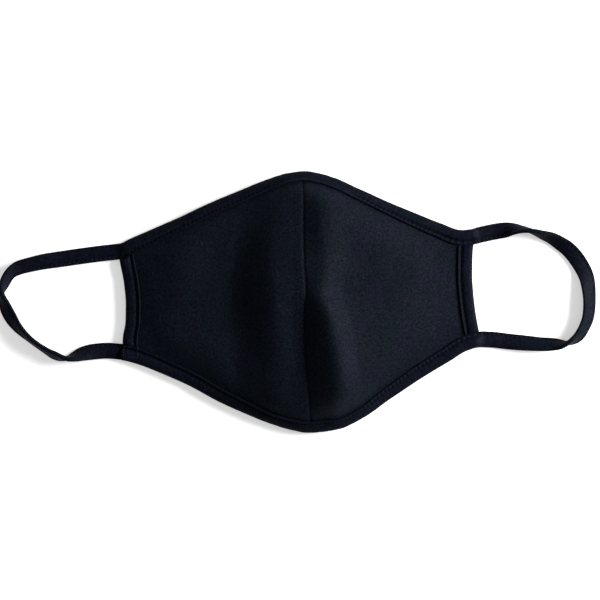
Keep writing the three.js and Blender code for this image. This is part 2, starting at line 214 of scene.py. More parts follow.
# The folded tape's section, as shares of its width and in millimetres
SLOT_DEPTH = 1.3
SLOT_MIDDLE_SHARE = 0.6
GROOVE_SHARE = 0.8
GROOVE_HALF_WIDTH = 1.05
STITCH_INSET_SHARE = 0.845
LIP_SHARE = 0.94
LIP_HALF_WIDTH = 0.5
LIP_RISE = 0.28
LIP_ROUND = 0.4
PUFF_SHARE = 0.79
PUFF_LEAN = 0.72
PUFF_POWER = 1.3
STITCH_PUCKER = 0.14
PUCKER_HALF_WIDTH = 1.6
BODY_SHARES = (0.3, 0.37, 0.44, 0.51, 0.58, 0.64, 0.69, 0.73, 0.76, 0.79, 0.815, 0.84, 0.87, 0.9, 0.93, 0.955)
EDGE_SHARES = (0.972, 0.986, 0.995, 1.0)
FOLD_ANGLES = (18, 36, 54, 72, 90)
RING_SPACING = 0.6

# How the tape's puff wanders along it, and its slanting drag lines
WANDER_SHARE = 0.3
WANDER_LENGTH = 21.0
FRONT_SEED = 5
BACK_SEED = 8
DRAG_PITCH = 6.5
DRAG_DEPTH = 0.07
DRAG_SLANT = 0.8
DRAG_BEND_LENGTH = 30.0
DRAG_SEED = 11

# The binding's and the ear loops' own relief; sag, groove and drag on the back are shares of the front's
BINDING_CROWN = 0.75
BINDING_GROOVE = 0.95
BINDING_SAG = 0.15
STRAP_CROWN = 0.32
STRAP_GROOVE = 0.34
STRAP_SAG = 0.7
STRAP_SLIT = 0.05
STRAP_SWELL = 0.22
BACK_GROOVE = 0.6
BACK_DRAG = 0.4

# Over these lengths the binding turns into the ear loop's flatter tape, and its slot closes
JOIN_REACH = 6.0
SLOT_REACH = 3.0

# The short edges' tape and the left loop's first end, pressed flat where they are tucked under other tape
TUCK_REACH = 2.2
TUCK_UNDER = 1.2
TUCK_HELD_SHARE = 0.35
SHORT_EDGE_START = -20.0
MIDDLE_INSET = 4.7
PRESSED_LOSS = 0.04
PRESSED_SLOT_GAP = 0.02
TUCKED_FULL = -0.4
TUCKED_HALF = 0.8
TUCKED_LIFT = 0.8
TUCKED_LIFT_REACH = 7

# Steps along the tapes' lines
TAPE_STATIONS = 900
ROUTE_STEPS = 24

# The panels' grid, and the centre seam's roll, raised band and stitched line
PANEL_COLUMNS = 130
PANEL_ROWS = 168
COLUMN_CROWDING = 1.25
GRID_ROUNDS = 8
SEAM_VISIBLE_GAP = 0.002
SEAM_MITRE_REACH = 2.0
SEAM_ROLL_DEPTH = 0.5
SEAM_ROLL_WIDTH = 0.8
SEAM_BAND_WIDTH = 5.5
SEAM_BAND_HEIGHT = 0.1
SEAM_BAND_INNER = 1.2
SEAM_BAND_OUTER = 0.8
SEAM_STITCH_INSET = 1.1
SEAM_LINE_DEPTH = 0.16
SEAM_LINE_HALF_WIDTH = 0.5
SEAM_PUCKER = 0.05
SEAM_STITCHES_FROM_CHIN = 9.0
SEAM_STITCHES_FROM_NOSE = 7.0

# The panels' soft dents: their size, and how far from the tape and the seam they begin
LARGE_DENTS = 34.0
SMALL_DENTS = 15.0
SMALL_DENT_SHARE = 0.45
DENT_STRETCH = 0.6
LARGE_DENT_SEED = 3
SMALL_DENT_SEED = 4
DENT_START = 1
DENT_FULL = 16
DENT_SEAM_REACH = 9

# Where the nose binding rolls over its stitch line, so that no stitch shows from the front
ROLLED_OVER = (-9.0, 33.0)
ROLL_FADE = (-6, 4)
ROLLED_GROOVE_LOSS = 0.75

# The small sewn box at the lower left corner: lowest and highest corner
CORNER_TACK = (-103.4, -32.8, -95.2, -26.6)
TACK_PITCH = 1.7
TACK_COVER = 0.85

# Where tapes and their rows of stitches begin and end
SHORT_STITCH_MARGIN = 2.5
CHIN_STITCH_START = 11.5
LOOP_STITCH_START = 1.0
LOOP_TUCKED_LENGTH = 1.4

# Smooth shading breaks at edges sharper than this, in degrees
SHARP_ANGLE = 62

# The right panel's knit starts this far from the left one's
PATTERN_SHIFT = 300

# The stage, in metres
FLOOR_REACH = 3.0
FLOOR_DROP = 0.0002
CAMERA_REACH = 20.0
FRAME_WIDTH = 0.36
CAMERA_CENTRE = (0.0018, 0.0012)
SENSOR_WIDTH = 36.0


def length_setting(name, description, default, least=0.0):
    """A length that a user may change, in metres."""
    return bpy.props.FloatProperty(
        name=name, description=description, default=default, min=least, unit="LENGTH"
    )


def colour_setting(name, description, default):
    """A colour that a user may change."""
    return bpy.props.FloatVectorProperty(
        name=name, description=description, default=default, min=0.0, max=1.0, size=3, subtype="COLOR"
    )


def angle_setting(name, description, degrees):
    """An angle that a user may change."""
    return bpy.props.FloatProperty(
        name=name, description=description, default=math.radians(degrees), subtype="ANGLE"
    )


class MaskSizes(bpy.types.PropertyGroup):
    """Sizes of the mask's cloth, tape and stitching"""

    panel_wall: length_setting("Panel cloth", "Thickness of the panels' cloth", 0.0014)
    tape_wall: length_setting("Tape layer", "Thickness of one layer of the binding tape", 0.001)
    seat_gap: length_setting("Seat gap", "Clearance between the panel and the tape's slot", 0.0003)
    tape_width: length_setting("Binding width", "Width of the folded binding tape", 0.0094)
    strap_width: length_setting("Ear loop width", "Width of the ear loops' folded tape", 0.0096)
    stitch_pitch: length_setting("Stitch pitch", "Distance from one tape stitch to the next", 0.0027)
    seam_pitch: length_setting("Seam stitch pitch", "Distance between the centre seam's stitches", 0.0024)
    stitch_share: bpy.props.FloatProperty(
        name="Stitch cover", description="Share of the pitch that the thread covers", default=0.52,
        min=0.3, max=0.95, subtype="FACTOR",
    )
    thread_width: length_setting("Thread", "Thickness of the sewing thread", 0.00042)
    dent_depth: length_setting("Dents", "Height of the soft dents in the panels", 0.00022)
    wale_pitch: length_setting("Knit column", "Width of one column of the knit", 0.0009)
    course_pitch: length_setting("Knit row", "Height of one row of the knit", 0.0008)
    tape_rib_pitch: length_setting("Tape rib", "Width of one fine rib of the tape", 0.0007)


class MaskColours(bpy.types.PropertyGroup):
    """Colours of the cloth, the tape, the thread and the floor"""

    panel_cloth: colour_setting("Panel cloth", "Colour of the knit panels", (0.0031, 0.0047, 0.0083))
    binding_tape: colour_setting("Tape", "Colour of the bindings and ear loops", (0.0023, 0.0033, 0.0070))
    sewing_thread: colour_setting("Thread", "Colour of the sewing thread", (0.0070, 0.0082, 0.0130))
    floor: colour_setting("Floor", "Colour of the surface under the mask", (0.93, 0.93, 0.93))


class MaskStage(bpy.types.PropertyGroup):
    """Lights and camera"""

    key_power: bpy.props.FloatProperty(
        name="Key light", description="Power of the large soft light", default=56.0, min=0.0, unit="POWER"
    )
    key_size: length_setting("Key size", "Width of the large soft light", 0.7, 0.01)
    key_distance: length_setting("Key distance", "From the mask to the large soft light", 1.5, 0.1)
    key_turn: angle_setting("Key turn", "Direction of the light round the mask, from its right side", 14)
    key_rise: angle_setting("Key rise", "Height of the light over the horizon", 26)
    fill_strength: bpy.props.FloatProperty(
        name="Fill", description="Strength of the even light from all round", default=0.28, min=0.0
    )
    floor_glow: bpy.props.FloatProperty(
        name="Floor glow", description="Light of the white surface itself, which keeps its shadows pale",
        default=0.45, min=0.0,
    )
    camera_height: length_setting("Camera height", "Height of the camera over the floor", 1.6, 0.1)


def sizes():
    """The mask's sizes in millimetres, by name."""
    group = bpy.context.scene.mask_sizes
    lengths = {name: getattr(group, name) / MM for name in MaskSizes.__annotations__}
    lengths["stitch_share"] = group.stitch_share  # a share, not a length
    lengths["slot_half"] = lengths["panel_wall"] / 2 + lengths["seat_gap"]
    lengths["tape_half"] = lengths["slot_half"] + lengths["tape_wall"]
    lengths["panel_seat"] = SLOT_DEPTH + lengths["seat_gap"]
    return lengths


# Curves

def lerp(start, end, part):
    return start + (end - start) * part


def smooth_step(low, high, value):
    """Rises smoothly from 0 at low to 1 at high."""
    part = np.clip((value - low) / (high - low), 0, 1)
    return part * part * (3 - 2 * part)


def bell(value, middle, half_width):
    """1 at the middle, fading smoothly to 0 on both sides."""
    return np.exp(-(((value - middle) / half_width) ** 2))


def curve_slopes(stations, values):
    """A slope for each station: 0 where the values turn, else a weighted mean of both sides."""
    width = np.diff(stations, axis=0)
    rise = np.diff(values, axis=0) / width
    slopes = np.empty_like(values)
    slopes[0] = rise[0]
    slopes[-1] = rise[-1]
    turns = rise[:-1] * rise[1:] <= 0
    before = np.where(turns, 1.0, rise[:-1])
    after = np.where(turns, 1.0, rise[1:])
    weight_before = 2 * width[1:] + width[:-1]
    weight_after = width[1:] + 2 * width[:-1]
    mean = (weight_before + weight_after) / (weight_before / before + weight_after / after)
    slopes[1:-1] = np.where(turns, 0.0, mean)
    return slopes


def curve_value(width, part, start, end, start_slope, end_slope):
    p2 = part * part
    p3 = p2 * part
    return (
        start * (2 * p3 - 3 * p2 + 1)
        + start_slope * width * (p3 - 2 * p2 + part)
        + end * (3 * p2 - 2 * p3)
        + end_slope * width * (p3 - p2)
    )


class Curve:
    """A smooth curve through rising stations that never overshoots its values."""

    def __init__(self, stations, values):
        self.stations = np.asarray(stations, float)
        self.values = np.asarray(values, float)
        self.slopes = curve_slopes(self.stations, self.values)

    def span(self, station):
        index = np.searchsorted(self.stations[1:-1], station, side="left")
        width = self.stations[index + 1] - self.stations[index]
        part = np.clip((station - self.stations[index]) / width, 0, 1)
        return index, width, part

    def at(self, station):
        i, width, part = self.span(station)
        return curve_value(
            width, part, self.values[i], self.values[i + 1], self.slopes[i], self.slopes[i + 1]
        )

    def slope(self, station):
        i, width, part = self.span(station)
        step = self.values[i + 1] - self.values[i]
        return (
            (step / width) * 6 * part * (1 - part)
            + self.slopes[i] * (1 - part) * (1 - 3 * part)
            + self.slopes[i + 1] * part * (3 * part - 2)
        )


def curve_across(stations, values, at):
    """The same curve where the stations themselves change from point to point."""
    stations = np.stack([np.broadcast_to(station, at.shape) for station in stations]).astype(float)
    values = np.stack([np.broadcast_to(value, at.shape) for value in values]).astype(float)
    slopes = curve_slopes(stations, values)
    index = np.zeros(at.shape, int)
    for station in stations[1:-1]:
        index += at > station

    def pick(table, shift=0):
        return np.take_along_axis(table, (index + shift)[None], axis=0)[0]

    width = pick(stations, 1) - pick(stations)
    part = np.clip((at - pick(stations)) / width, 0, 1)
    return curve_value(width, part, pick(values), pick(values, 1), pick(slopes), pick(slopes, 1))


def through_points(rows, steps):
    """A smooth line through table rows, with the same number of steps between each two."""
    points = np.asarray(rows, float)
    padded = np.vstack([2 * points[0] - points[1], points, 2 * points[-1] - points[-2]])
    part = (np.arange(steps) / steps)[:, None]
    spans = []
    for i in range(len(points) - 1):
        before, start, end, after = padded[i : i + 4]
        spans.append(
            start
            + 0.5 * (end - before) * part
            + (before - 2.5 * start + 2 * end - 0.5 * after) * part**2
            + 0.5 * (3 * start - before - 3 * end + after) * part**3
        )
    spans.append(points[-1:])
    return np.vstack(spans)


def way_along(steps, axis=-1):
    """How far each point is from the first one, from the steps between neighbours."""
    way = np.cumsum(steps, axis=axis)
    return np.concatenate([0 * np.take(way, [0], axis=axis), way], axis=axis)


def row_steps(points, axis):
    """Distances from each point of a grid to the next along one axis."""
    return np.linalg.norm(np.diff(points, axis=axis), axis=-1)


def soft_noise(x, y, wavelength, seed):
    """A smooth wandering value, mostly between -1 and 1, from a few crossed waves."""
    choice = np.random.default_rng(seed)
    total = 0.0
    for _ in range(NOISE_WAVES):
        heading = choice.uniform(0, 2 * math.pi)
        length = wavelength * choice.uniform(*NOISE_LENGTHS)
        phase = choice.uniform(0, 2 * math.pi)
        way = x * math.cos(heading) + y * math.sin(heading)
        total = total + np.sin(2 * math.pi * way / length + phase)
    return total / NOISE_DIVISOR


# The mask's form

class Edge:
    """One edge of the mask: its line in plan, which side is inward, and its slope angle."""

    def __init__(self, along, inward, reach, rows):
        stations, across, tilt = zip(*rows)
        self.along_x = along == "x"
        self.inward = inward
        self.reach = reach
        self.line = Curve(stations, across)
        self.tilt = Curve(stations, np.radians(tilt))


TOP_EDGE = Edge("x", -1, LONG_EDGE_REACH, TOP_EDGE_ROWS)
BOTTOM_EDGE = Edge("x", 1, LONG_EDGE_REACH, BOTTOM_EDGE_ROWS)
LEFT_EDGE = Edge("y", 1, SHORT_EDGE_REACH, LEFT_EDGE_ROWS)
RIGHT_EDGE = Edge("y", -1, SHORT_EDGE_REACH, RIGHT_EDGE_ROWS)
EDGES = (TOP_EDGE, BOTTOM_EDGE, LEFT_EDGE, RIGHT_EDGE)
FORM = {
    name: Curve([row[0] for row in SECTION_ROWS], [row[i] for row in SECTION_ROWS])
    for i, name in enumerate(SECTION_COLUMNS)
}


def distance_to(edge, x, y):
    """Distance in plan to an edge, and the place on the edge that it is measured from."""
    along, across = (x, y) if edge.along_x else (y, x)
    foot = along
    distance = 0
    for _ in range(SETTLING_ROUNDS):
        slope = edge.line.slope(foot)
        scale = 1 / np.hypot(1, slope)
        distance = edge.inward * (across - edge.line.at(foot) - slope * (along - foot)) * scale
        foot = along + edge.inward * distance * slope * scale
    return distance, foot


def plan_inset(inset, tilt):
    """Distance in plan for a way in along the cloth from the outside of the fold."""
    return inset * np.cos(tilt) + sizes()["tape_half"] * (1 - np.cos(tilt))


def rise_from(edge, x, y):
    """The height that one edge allows at a point, above the rim."""
    distance, foot = distance_to(edge, x, y)
    tilt = edge.tilt.at(foot)
    inward = np.maximum(0, distance - plan_inset(0, tilt))
    return inward * np.tan(tilt) * (1 + (inward / edge.reach) ** 2)


def form_height(x, y):
    """The main form's height above the rim, away from the edges."""
    line = {name: curve.at(y) for name, curve in FORM.items()}
    left = curve_across(
        [LEFT_FIELD[0][0], LEFT_FIELD[1][0], line["foot_x"], line["ridge_x"], line["seam_x"]],
        [LEFT_FIELD[0][1], LEFT_FIELD[1][1], line["foot_z"], line["ridge_z"], line["seam_z"]],
        x,
    )
    far = [(place, share * line["side_z"]) for place, share in RIGHT_FIELD]
    right = curve_across(
        [line["seam_x"], line["crest_x"], line["side_x"], far[0][0], far[1][0]],
        [line["seam_z"], line["crest_z"], line["side_z"], far[0][1], far[1][1]],
        x,
    )
    return np.where(x < line["seam_x"], left, right)


def cloth_height(x, y):
    """The middle of the cloth's thickness over the table."""
    x, y = np.broadcast_arrays(np.asarray(x, float), np.asarray(y, float))
    limits = np.stack([rise_from(edge, x, y) for edge in EDGES] + [form_height(x, y)])
    least = limits.min(axis=0)
    safe = np.maximum(limits, LEAST_RISE)
    blended = (safe**-BLEND_POWER).sum(axis=0) ** (-1 / BLEND_POWER)
    return sizes()["tape_half"] + np.where(least < LEAST_RISE, least, blended)


def cloth_facing(x, y, side=0):
    """The way that the cloth faces; side -1 or 1 takes the slope on that panel's side only."""
    back = 0.0 if side > 0 else SLOPE_STEP
    ahead = 0.0 if side < 0 else SLOPE_STEP
    slope_x = (cloth_height(x + ahead, y) - cloth_height(x - back, y)) / (ahead + back)
    slope_y = (cloth_height(x, y + SLOPE_STEP) - cloth_height(x, y - SLOPE_STEP)) / (2 * SLOPE_STEP)
    return unit(np.stack([-slope_x, -slope_y, np.ones_like(slope_x)], axis=-1))


def unit(vectors):
    return vectors / np.linalg.norm(vectors, axis=-1, keepdims=True)


def cloth_point(x, y, offset, facing=None):
    """A point of the cloth, moved off its middle surface by an offset."""
    x, y, offset = np.broadcast_arrays(x, y, offset)
    facing = cloth_facing(x, y) if facing is None else facing
    return np.stack([x, y, cloth_height(x, y)], axis=-1) + facing * offset[..., None]


def on_long_edge(edge, x, inset, offset):
    """A point of the tape on the nose or chin edge."""
    slope = edge.line.slope(x)
    scale = edge.inward / np.hypot(1, slope)
    distance = plan_inset(inset, edge.tilt.at(x))
    return cloth_point(x - slope * scale * distance, edge.line.at(x) + scale * distance, offset)


def limit_at(edge, x, inset):
    """How far up or down a point may go at x before it meets something set in from an edge."""
    distance = plan_inset(inset, edge.tilt.at(x))
    return edge.line.at(x) + edge.inward * distance * np.hypot(1, edge.line.slope(x))


def on_short_edge(edge, part, inset, offset, clear):
    """A point of the tape on a short edge, by its share of the way from the chin end."""
    part, inset = np.broadcast_arrays(part, inset)
    y = lerp(limit_at(BOTTOM_EDGE, edge.line.at(SHORT_EDGE_START), clear), 0, part)
    x = y
    for _ in range(SETTLING_ROUNDS):
        x = edge.line.at(y) + edge.inward * inset
        y = lerp(limit_at(BOTTOM_EDGE, x, clear), limit_at(TOP_EDGE, x, clear), part)
    return cloth_point(x, y, offset)


# Folded tape

def binding_form():
    """The folded tape's section where it holds the edge of a panel."""
    size = sizes()
    return {
        "half": size["tape_half"],
        "slot": size["slot_half"],
        "width": size["tape_width"],
        "crown": BINDING_CROWN,
        "groove": BINDING_GROOVE,
        "sag": BINDING_SAG,
    }


def mixed_form(first, second, weight, slot_weight):
    """One tape section turning into another, with its slot on its own weight."""
    mixed = {name: lerp(first[name], second[name], weight) for name in first}
    mixed["slot"] = lerp(first["slot"], second["slot"], slot_weight)
    return mixed


def column(value):
    """A value for each ring, ready to go with a row of section points."""
    value = np.asarray(value, float)
    return value[:, None] if value.ndim == 1 else value


def tape_outer(form, along, inset, front):
    """How far the tape's outer layer stands off its middle, on its front or its back."""
    half, width, slot = (column(form[name]) for name in ("half", "width", "slot"))
    along = column(along)
    fold = np.sqrt(1 - (1 - np.clip(inset / half, 0, 1)) ** 2)
    puff = np.sin(math.pi * np.clip(inset / (PUFF_SHARE * width), 0, 1) ** PUFF_LEAN) ** PUFF_POWER
    groove = bell(inset, GROOVE_SHARE * width, GROOVE_HALF_WIDTH)
    lip = LIP_RISE * bell(inset, LIP_SHARE * width, LIP_HALF_WIDTH)
    seed = FRONT_SEED if front else BACK_SEED
    wander = 1 + WANDER_SHARE * soft_noise(along, 0 * along, WANDER_LENGTH, seed)
    bend = soft_noise(along, inset, DRAG_BEND_LENGTH, DRAG_SEED)
    drag = np.sin(2 * math.pi * (along + DRAG_SLANT * inset) / DRAG_PITCH + 2 * bend)
    pitch = sizes()["stitch_pitch"]
    pucker = np.cos(2 * math.pi * along / pitch) * bell(inset, GROOVE_SHARE * width, PUCKER_HALF_WIDTH)
    crown = column(form["crown"]) * (1.0 if front else column(form["sag"]))
    depth = column(form["groove"]) * (1.0 if front else BACK_GROOVE)
    height = half * fold + crown * puff * wander - depth * (groove - lip)
    pull = DRAG_DEPTH * (1.0 if front else BACK_DRAG)
    height = height + puff * drag * pull + STITCH_PUCKER * depth * pucker
    edge = np.clip((inset - (width - LIP_ROUND)) / LIP_ROUND, 0, 1)
    return slot + (height - slot) * np.sqrt(1 - edge**2)


def tape_section(form, along):
    """Insets and offsets round the folded tape, ring by ring, and the way round it for the pattern."""
    half, width = column(form["half"]), column(form["width"])
    rings = len(along)
    fold = half * (1 - np.cos(np.radians(FOLD_ANGLES)))[None, :]
    body = width * np.array(BODY_SHARES + EDGE_SHARES)[None, :]
    outer = np.hstack([np.broadcast_to(part, (rings, part.shape[1])) for part in (fold, body)])
    front = tape_outer(form, along, outer, True)
    back = -tape_outer(form, along, outer, False)
    fold_tip = np.zeros((rings, 1))
    slot_inset = np.broadcast_to(np.hstack([SLOT_MIDDLE_SHARE * width, 0 * width + SLOT_DEPTH]), (rings, 2))
    slot_half = np.broadcast_to(column(form["slot"]), (rings, 2))
    inset = np.concatenate([slot_inset[:, ::-1], outer[:, ::-1], fold_tip, outer, slot_inset], axis=1)
    offset = np.concatenate([-slot_half, back[:, ::-1], fold_tip, front, slot_half], axis=1)
    way_round = way_along(np.hypot(np.diff(inset, axis=1), np.diff(offset, axis=1)))
    return inset, offset, way_round


class LongTape:
    """Binding along the nose or chin edge, which turns into the ear loops' tape where it is joined."""

    def __init__(self, edge, start_x, end_x, joins):
        x = np.linspace(start_x, end_x, TAPE_STATIONS)
        self.edge = edge
        self.x = x
        self.way = way_along(np.hypot(np.diff(x), np.diff(edge.line.at(x))))
        self.length = self.way[-1]
        self.joins = joins

    def gap_to(self, end, along):
        """The way left from a place on the tape to its start or end."""
        return along if end == "start" else self.length - along

    def form(self, along):
        form = {name: value + 0 * along for name, value in binding_form().items()}
        x = np.interp(along, self.way, self.x)
        if self.edge is TOP_EDGE:
            rolled = smooth_step(*ROLL_FADE, x - ROLLED_OVER[0]) * smooth_step(*ROLL_FADE, ROLLED_OVER[1] - x)
            form["groove"] = form["groove"] * (1 - ROLLED_GROOVE_LOSS * rolled)
        for end, strap, at_end in self.joins:
            gap = self.gap_to(end, along)
            strap_form = strap.form(np.array([strap.length if at_end else 0.0]))
            strap_form = {name: value[0] for name, value in strap_form.items()}
            weight = 1 - smooth_step(0, JOIN_REACH, gap)
            form = mixed_form(form, strap_form, weight, 1 - smooth_step(0, SLOT_REACH, gap))
        return form

    def place(self, along, inset, offset):
        along = column(along)
        points = on_long_edge(self.edge, np.interp(along, self.way, self.x), inset, offset)
        for end, strap, at_end in self.joins:
            gap = self.gap_to(end, along)
            onto = strap.place(strap.length + gap if at_end else -gap, inset, offset)
            points = lerp(points, onto, (1 - smooth_step(0, JOIN_REACH, gap))[..., None])
        return points


class ShortTape:
    """Binding along a short edge, tucked under the long edges' tape at both ends."""

    def __init__(self, edge):
        self.edge = edge
        self.clear = sizes()["tape_width"] - TUCK_UNDER
        ends = on_short_edge(edge, np.array([0.0, 1.0]), MIDDLE_INSET, 0.0, self.clear)
        self.length = float(np.linalg.norm(ends[1] - ends[0]))

    def form(self, along):
        size = sizes()
        form = {name: value + 0 * along for name, value in binding_form().items()}
        pressed = dict(form)
        pressed["half"] = 0 * along + size["slot_half"] - PRESSED_LOSS
        pressed["slot"] = 0 * along + size["panel_wall"] / 2 + PRESSED_SLOT_GAP
        pressed["crown"] = 0 * along
        pressed["groove"] = 0 * along
        gap = np.minimum(along, self.length - along)
        weight = 1 - smooth_step(TUCK_HELD_SHARE * TUCK_UNDER, TUCK_REACH, gap)
        return mixed_form(form, pressed, weight, weight)

    def place(self, along, inset, offset):
        return on_short_edge(self.edge, column(along) / self.length, inset, offset, self.clear)


class StrapTape:
    """An ear loop's tape, lying on the table along its line and turned about it."""

    def __init__(self, rows, tucked_start):
        table = through_points(rows, ROUTE_STEPS)
        self.line = table[:, :2]
        self.way = way_along(np.hypot(*np.diff(self.line, axis=0).T))
        self.length = self.way[-1]
        self.heading = unit(np.gradient(self.line, self.way, axis=0))
        self.roll = np.radians(table[:, 2])
        self.thick = table[:, 3]
        self.tucked_start = tucked_start
        self.lift = np.zeros(len(self.way))
        inset, offset, _ = tape_section(self.form(self.way), self.way)
        self.lift = -self.place(self.way, inset, offset)[..., 2].min(axis=1)

    def follow(self, values, along):
        return np.interp(np.clip(along, 0, self.length), self.way, values)

    def form(self, along):
        thick = self.follow(self.thick, along)
        form = {
            "half": thick / 2 - STRAP_SWELL,
            "slot": STRAP_SLIT + 0 * thick,
            "width": sizes()["strap_width"] + 0 * thick,
            "crown": STRAP_CROWN + 0 * thick,
            "groove": STRAP_GROOVE + 0 * thick,
            "sag": STRAP_SAG + 0 * thick,
        }
        if self.tucked_start:
            weight = 1 - smooth_step(TUCKED_FULL, TUCK_REACH, along)
            pressed = dict(form, half=0 * thick + TUCKED_HALF, crown=0 * thick, groove=0 * thick)
            form = mixed_form(form, pressed, weight, 0)
        return form

    def place(self, along, inset, offset):
        along = column(along)
        inside = np.clip(along, 0, self.length)
        heading = [self.follow(self.heading[:, i], along) for i in (0, 1)]
        centre = [self.follow(self.line[:, i], along) + (along - inside) * heading[i] for i in (0, 1)]
        roll = self.follow(self.roll, along)
        across = sizes()["strap_width"] / 2 - inset
        sideways = across * np.cos(roll) - offset * np.sin(roll)
        z = across * np.sin(roll) + offset * np.cos(roll) + self.follow(self.lift, along)
        if self.tucked_start:
            z = z + TUCKED_LIFT * (1 - smooth_step(0, TUCKED_LIFT_REACH, along))
        x = centre[0] - heading[1] * sideways
        y = centre[1] + heading[0] * sideways
        return np.stack(np.broadcast_arrays(x, y, z), axis=-1)


def make_tapes():
    """The six tapes by name: the bindings and the ear loops."""
    left = StrapTape(LEFT_LOOP_ROWS, True)
    right = StrapTape(RIGHT_LOOP_ROWS, False)
    return {
        "left_ear_loop": left,
        "right_ear_loop": right,
        "top_binding": LongTape(
            TOP_EDGE, LEFT_LOOP_ROWS[-1][0], RIGHT_LOOP_ROWS[0][0],
            [("start", left, True), ("end", right, False)],
        ),
        "bottom_binding": LongTape(
            BOTTOM_EDGE, BOTTOM_LEFT_END, RIGHT_LOOP_ROWS[-1][0], [("end", right, True)]
        ),
        "left_side_binding": ShortTape(LEFT_EDGE),
        "right_side_binding": ShortTape(RIGHT_EDGE),
    }


# Meshes

def make_piece(name, points, faces, pattern, material):
    """A mesh object from points in millimetres, with its pattern coordinates and smooth shading."""
    mesh = bpy.data.meshes.new(name)
    mesh.from_pydata((points * MM).tolist(), [], faces)
    mesh.update()
    corners = np.empty(len(mesh.loops), np.int32)
    mesh.loops.foreach_get("vertex_index", corners)
    layer = mesh.uv_layers.new(name=UV_NAME)
    layer.data.foreach_set("uv", np.asarray(pattern, np.float32)[corners].ravel())
    mesh.shade_smooth()
    mesh.set_sharp_from_angle(angle=math.radians(SHARP_ANGLE))
    mesh.materials.append(material)
    piece = bpy.data.objects.new(name, mesh)
    bpy.context.scene.collection.objects.link(piece)
    return piece


def grid_faces(rows, columns, first=0, flip=False):
    """Quads over a grid of points that are numbered row by row."""
    start = first + (np.arange(rows - 1)[:, None] * columns + np.arange(columns - 1)[None, :]).ravel()
    quads = np.stack([start, start + 1, start + 1 + columns, start + columns], axis=1)
    return (quads[:, ::-1] if flip else quads).tolist()


def tube_faces(rings, size, first=0):
    """Quads round rings of points that are numbered ring by ring, with a face over each end."""
    start = first + np.arange(rings - 1)[:, None] * size
    corner = (start + np.arange(size)[None, :]).ravel()
    after = (start + (np.arange(size)[None, :] + 1) % size).ravel()
    faces = np.stack([corner, after, after + size, corner + size], axis=1).tolist()
    faces.append([first + i for i in range(size)][::-1])
    faces.append([first + (rings - 1) * size + i for i in range(size)])
    return faces


def tape_mesh(name, tape, start, end, material):
    """The folded tape as a closed body, from one place along it to another."""
    count = int(round((end - start) / RING_SPACING)) + 1
    along = np.linspace(start, end, count)
    inset, offset, way_round = tape_section(tape.form(along), along)
    points = tape.place(along, inset, offset)
    faces = tube_faces(*inset.shape)
    flat = points.reshape(-1, 3)
    pattern = np.stack([np.broadcast_to(along[:, None], inset.shape).ravel(), way_round.ravel()], axis=1)
    return make_piece(name, flat, facing_out(flat, faces), pattern, material)


def facing_out(points, faces):
    """The faces of a closed body, all turned outward."""
    fans = [(face[0], face[i], face[i + 1]) for face in faces for i in range(1, len(face) - 1)]
    corner = points[np.array(fans)]
    volume = np.einsum("ij,ij->i", corner[:, 0], np.cross(corner[:, 1], corner[:, 2])).sum()
    return faces if volume > 0 else [face[::-1] for face in faces]


def panel_grid(short_edge, side):
    """Places of a panel's points in plan, from its short edge to the seam and from chin to nose."""
    size = sizes()
    share = np.linspace(0, 1, PANEL_ROWS + 1)[:, None]
    part = 1 - (1 - np.linspace(0, 1, PANEL_COLUMNS + 1)[None, :]) ** COLUMN_CROWDING
    y = np.zeros((PANEL_ROWS + 1, PANEL_COLUMNS + 1))
    x = y
    for _ in range(GRID_ROUNDS):
        seam_x = FORM["seam_x"].at(y) + side * SEAM_VISIBLE_GAP / 2
        edge_x = short_edge.line.at(y) - side * size["panel_seat"]
        x = lerp(edge_x, seam_x, part)
        low = limit_at(BOTTOM_EDGE, x, size["panel_seat"])
        high = limit_at(TOP_EDGE, x, size["panel_seat"])
        y = lerp(low, high, share)
    return x, y


def panel_relief(x, y, side, front):
    """What stands proud of or is pressed into a panel's face: soft dents, and the centre seam's roll."""
    size = sizes()
    rim = np.stack([distance_to(edge, x, y)[0] for edge in EDGES]).min(axis=0)
    inside = smooth_step(size["tape_width"] + DENT_START, size["tape_width"] + DENT_FULL, rim)
    from_seam = np.abs(x - FORM["seam_x"].at(y))
    dents = soft_noise(x, DENT_STRETCH * y, LARGE_DENTS, LARGE_DENT_SEED)
    dents = dents + SMALL_DENT_SHARE * soft_noise(x, y, SMALL_DENTS, SMALL_DENT_SEED)
    relief = size["dent_depth"] * dents * inside * smooth_step(0, DENT_SEAM_REACH, from_seam)
    if not front:
        return relief
    relief = relief - SEAM_ROLL_DEPTH * bell(from_seam, 0, SEAM_ROLL_WIDTH)
    if side < 0:
        pucker = SEAM_PUCKER * np.cos(2 * math.pi * y / size["seam_pitch"])
        band_from = SEAM_BAND_WIDTH - SEAM_BAND_INNER
        band = 1 - smooth_step(band_from, SEAM_BAND_WIDTH + SEAM_BAND_OUTER, from_seam)
        line = bell(from_seam, SEAM_STITCH_INSET, SEAM_LINE_HALF_WIDTH)
        relief = relief + SEAM_BAND_HEIGHT * band - line * (SEAM_LINE_DEPTH + pucker)
    return relief


def panel_facing(x, y, side):
    """The way that a panel faces, mitred towards the other panel at the seam."""
    own = cloth_facing(x, y, side)
    seam_x = FORM["seam_x"].at(y)
    mitred = cloth_facing(seam_x, y)
    weight = smooth_step(0, SEAM_MITRE_REACH, np.abs(x - seam_x))[..., None]
    return unit(lerp(mitred, own, weight))


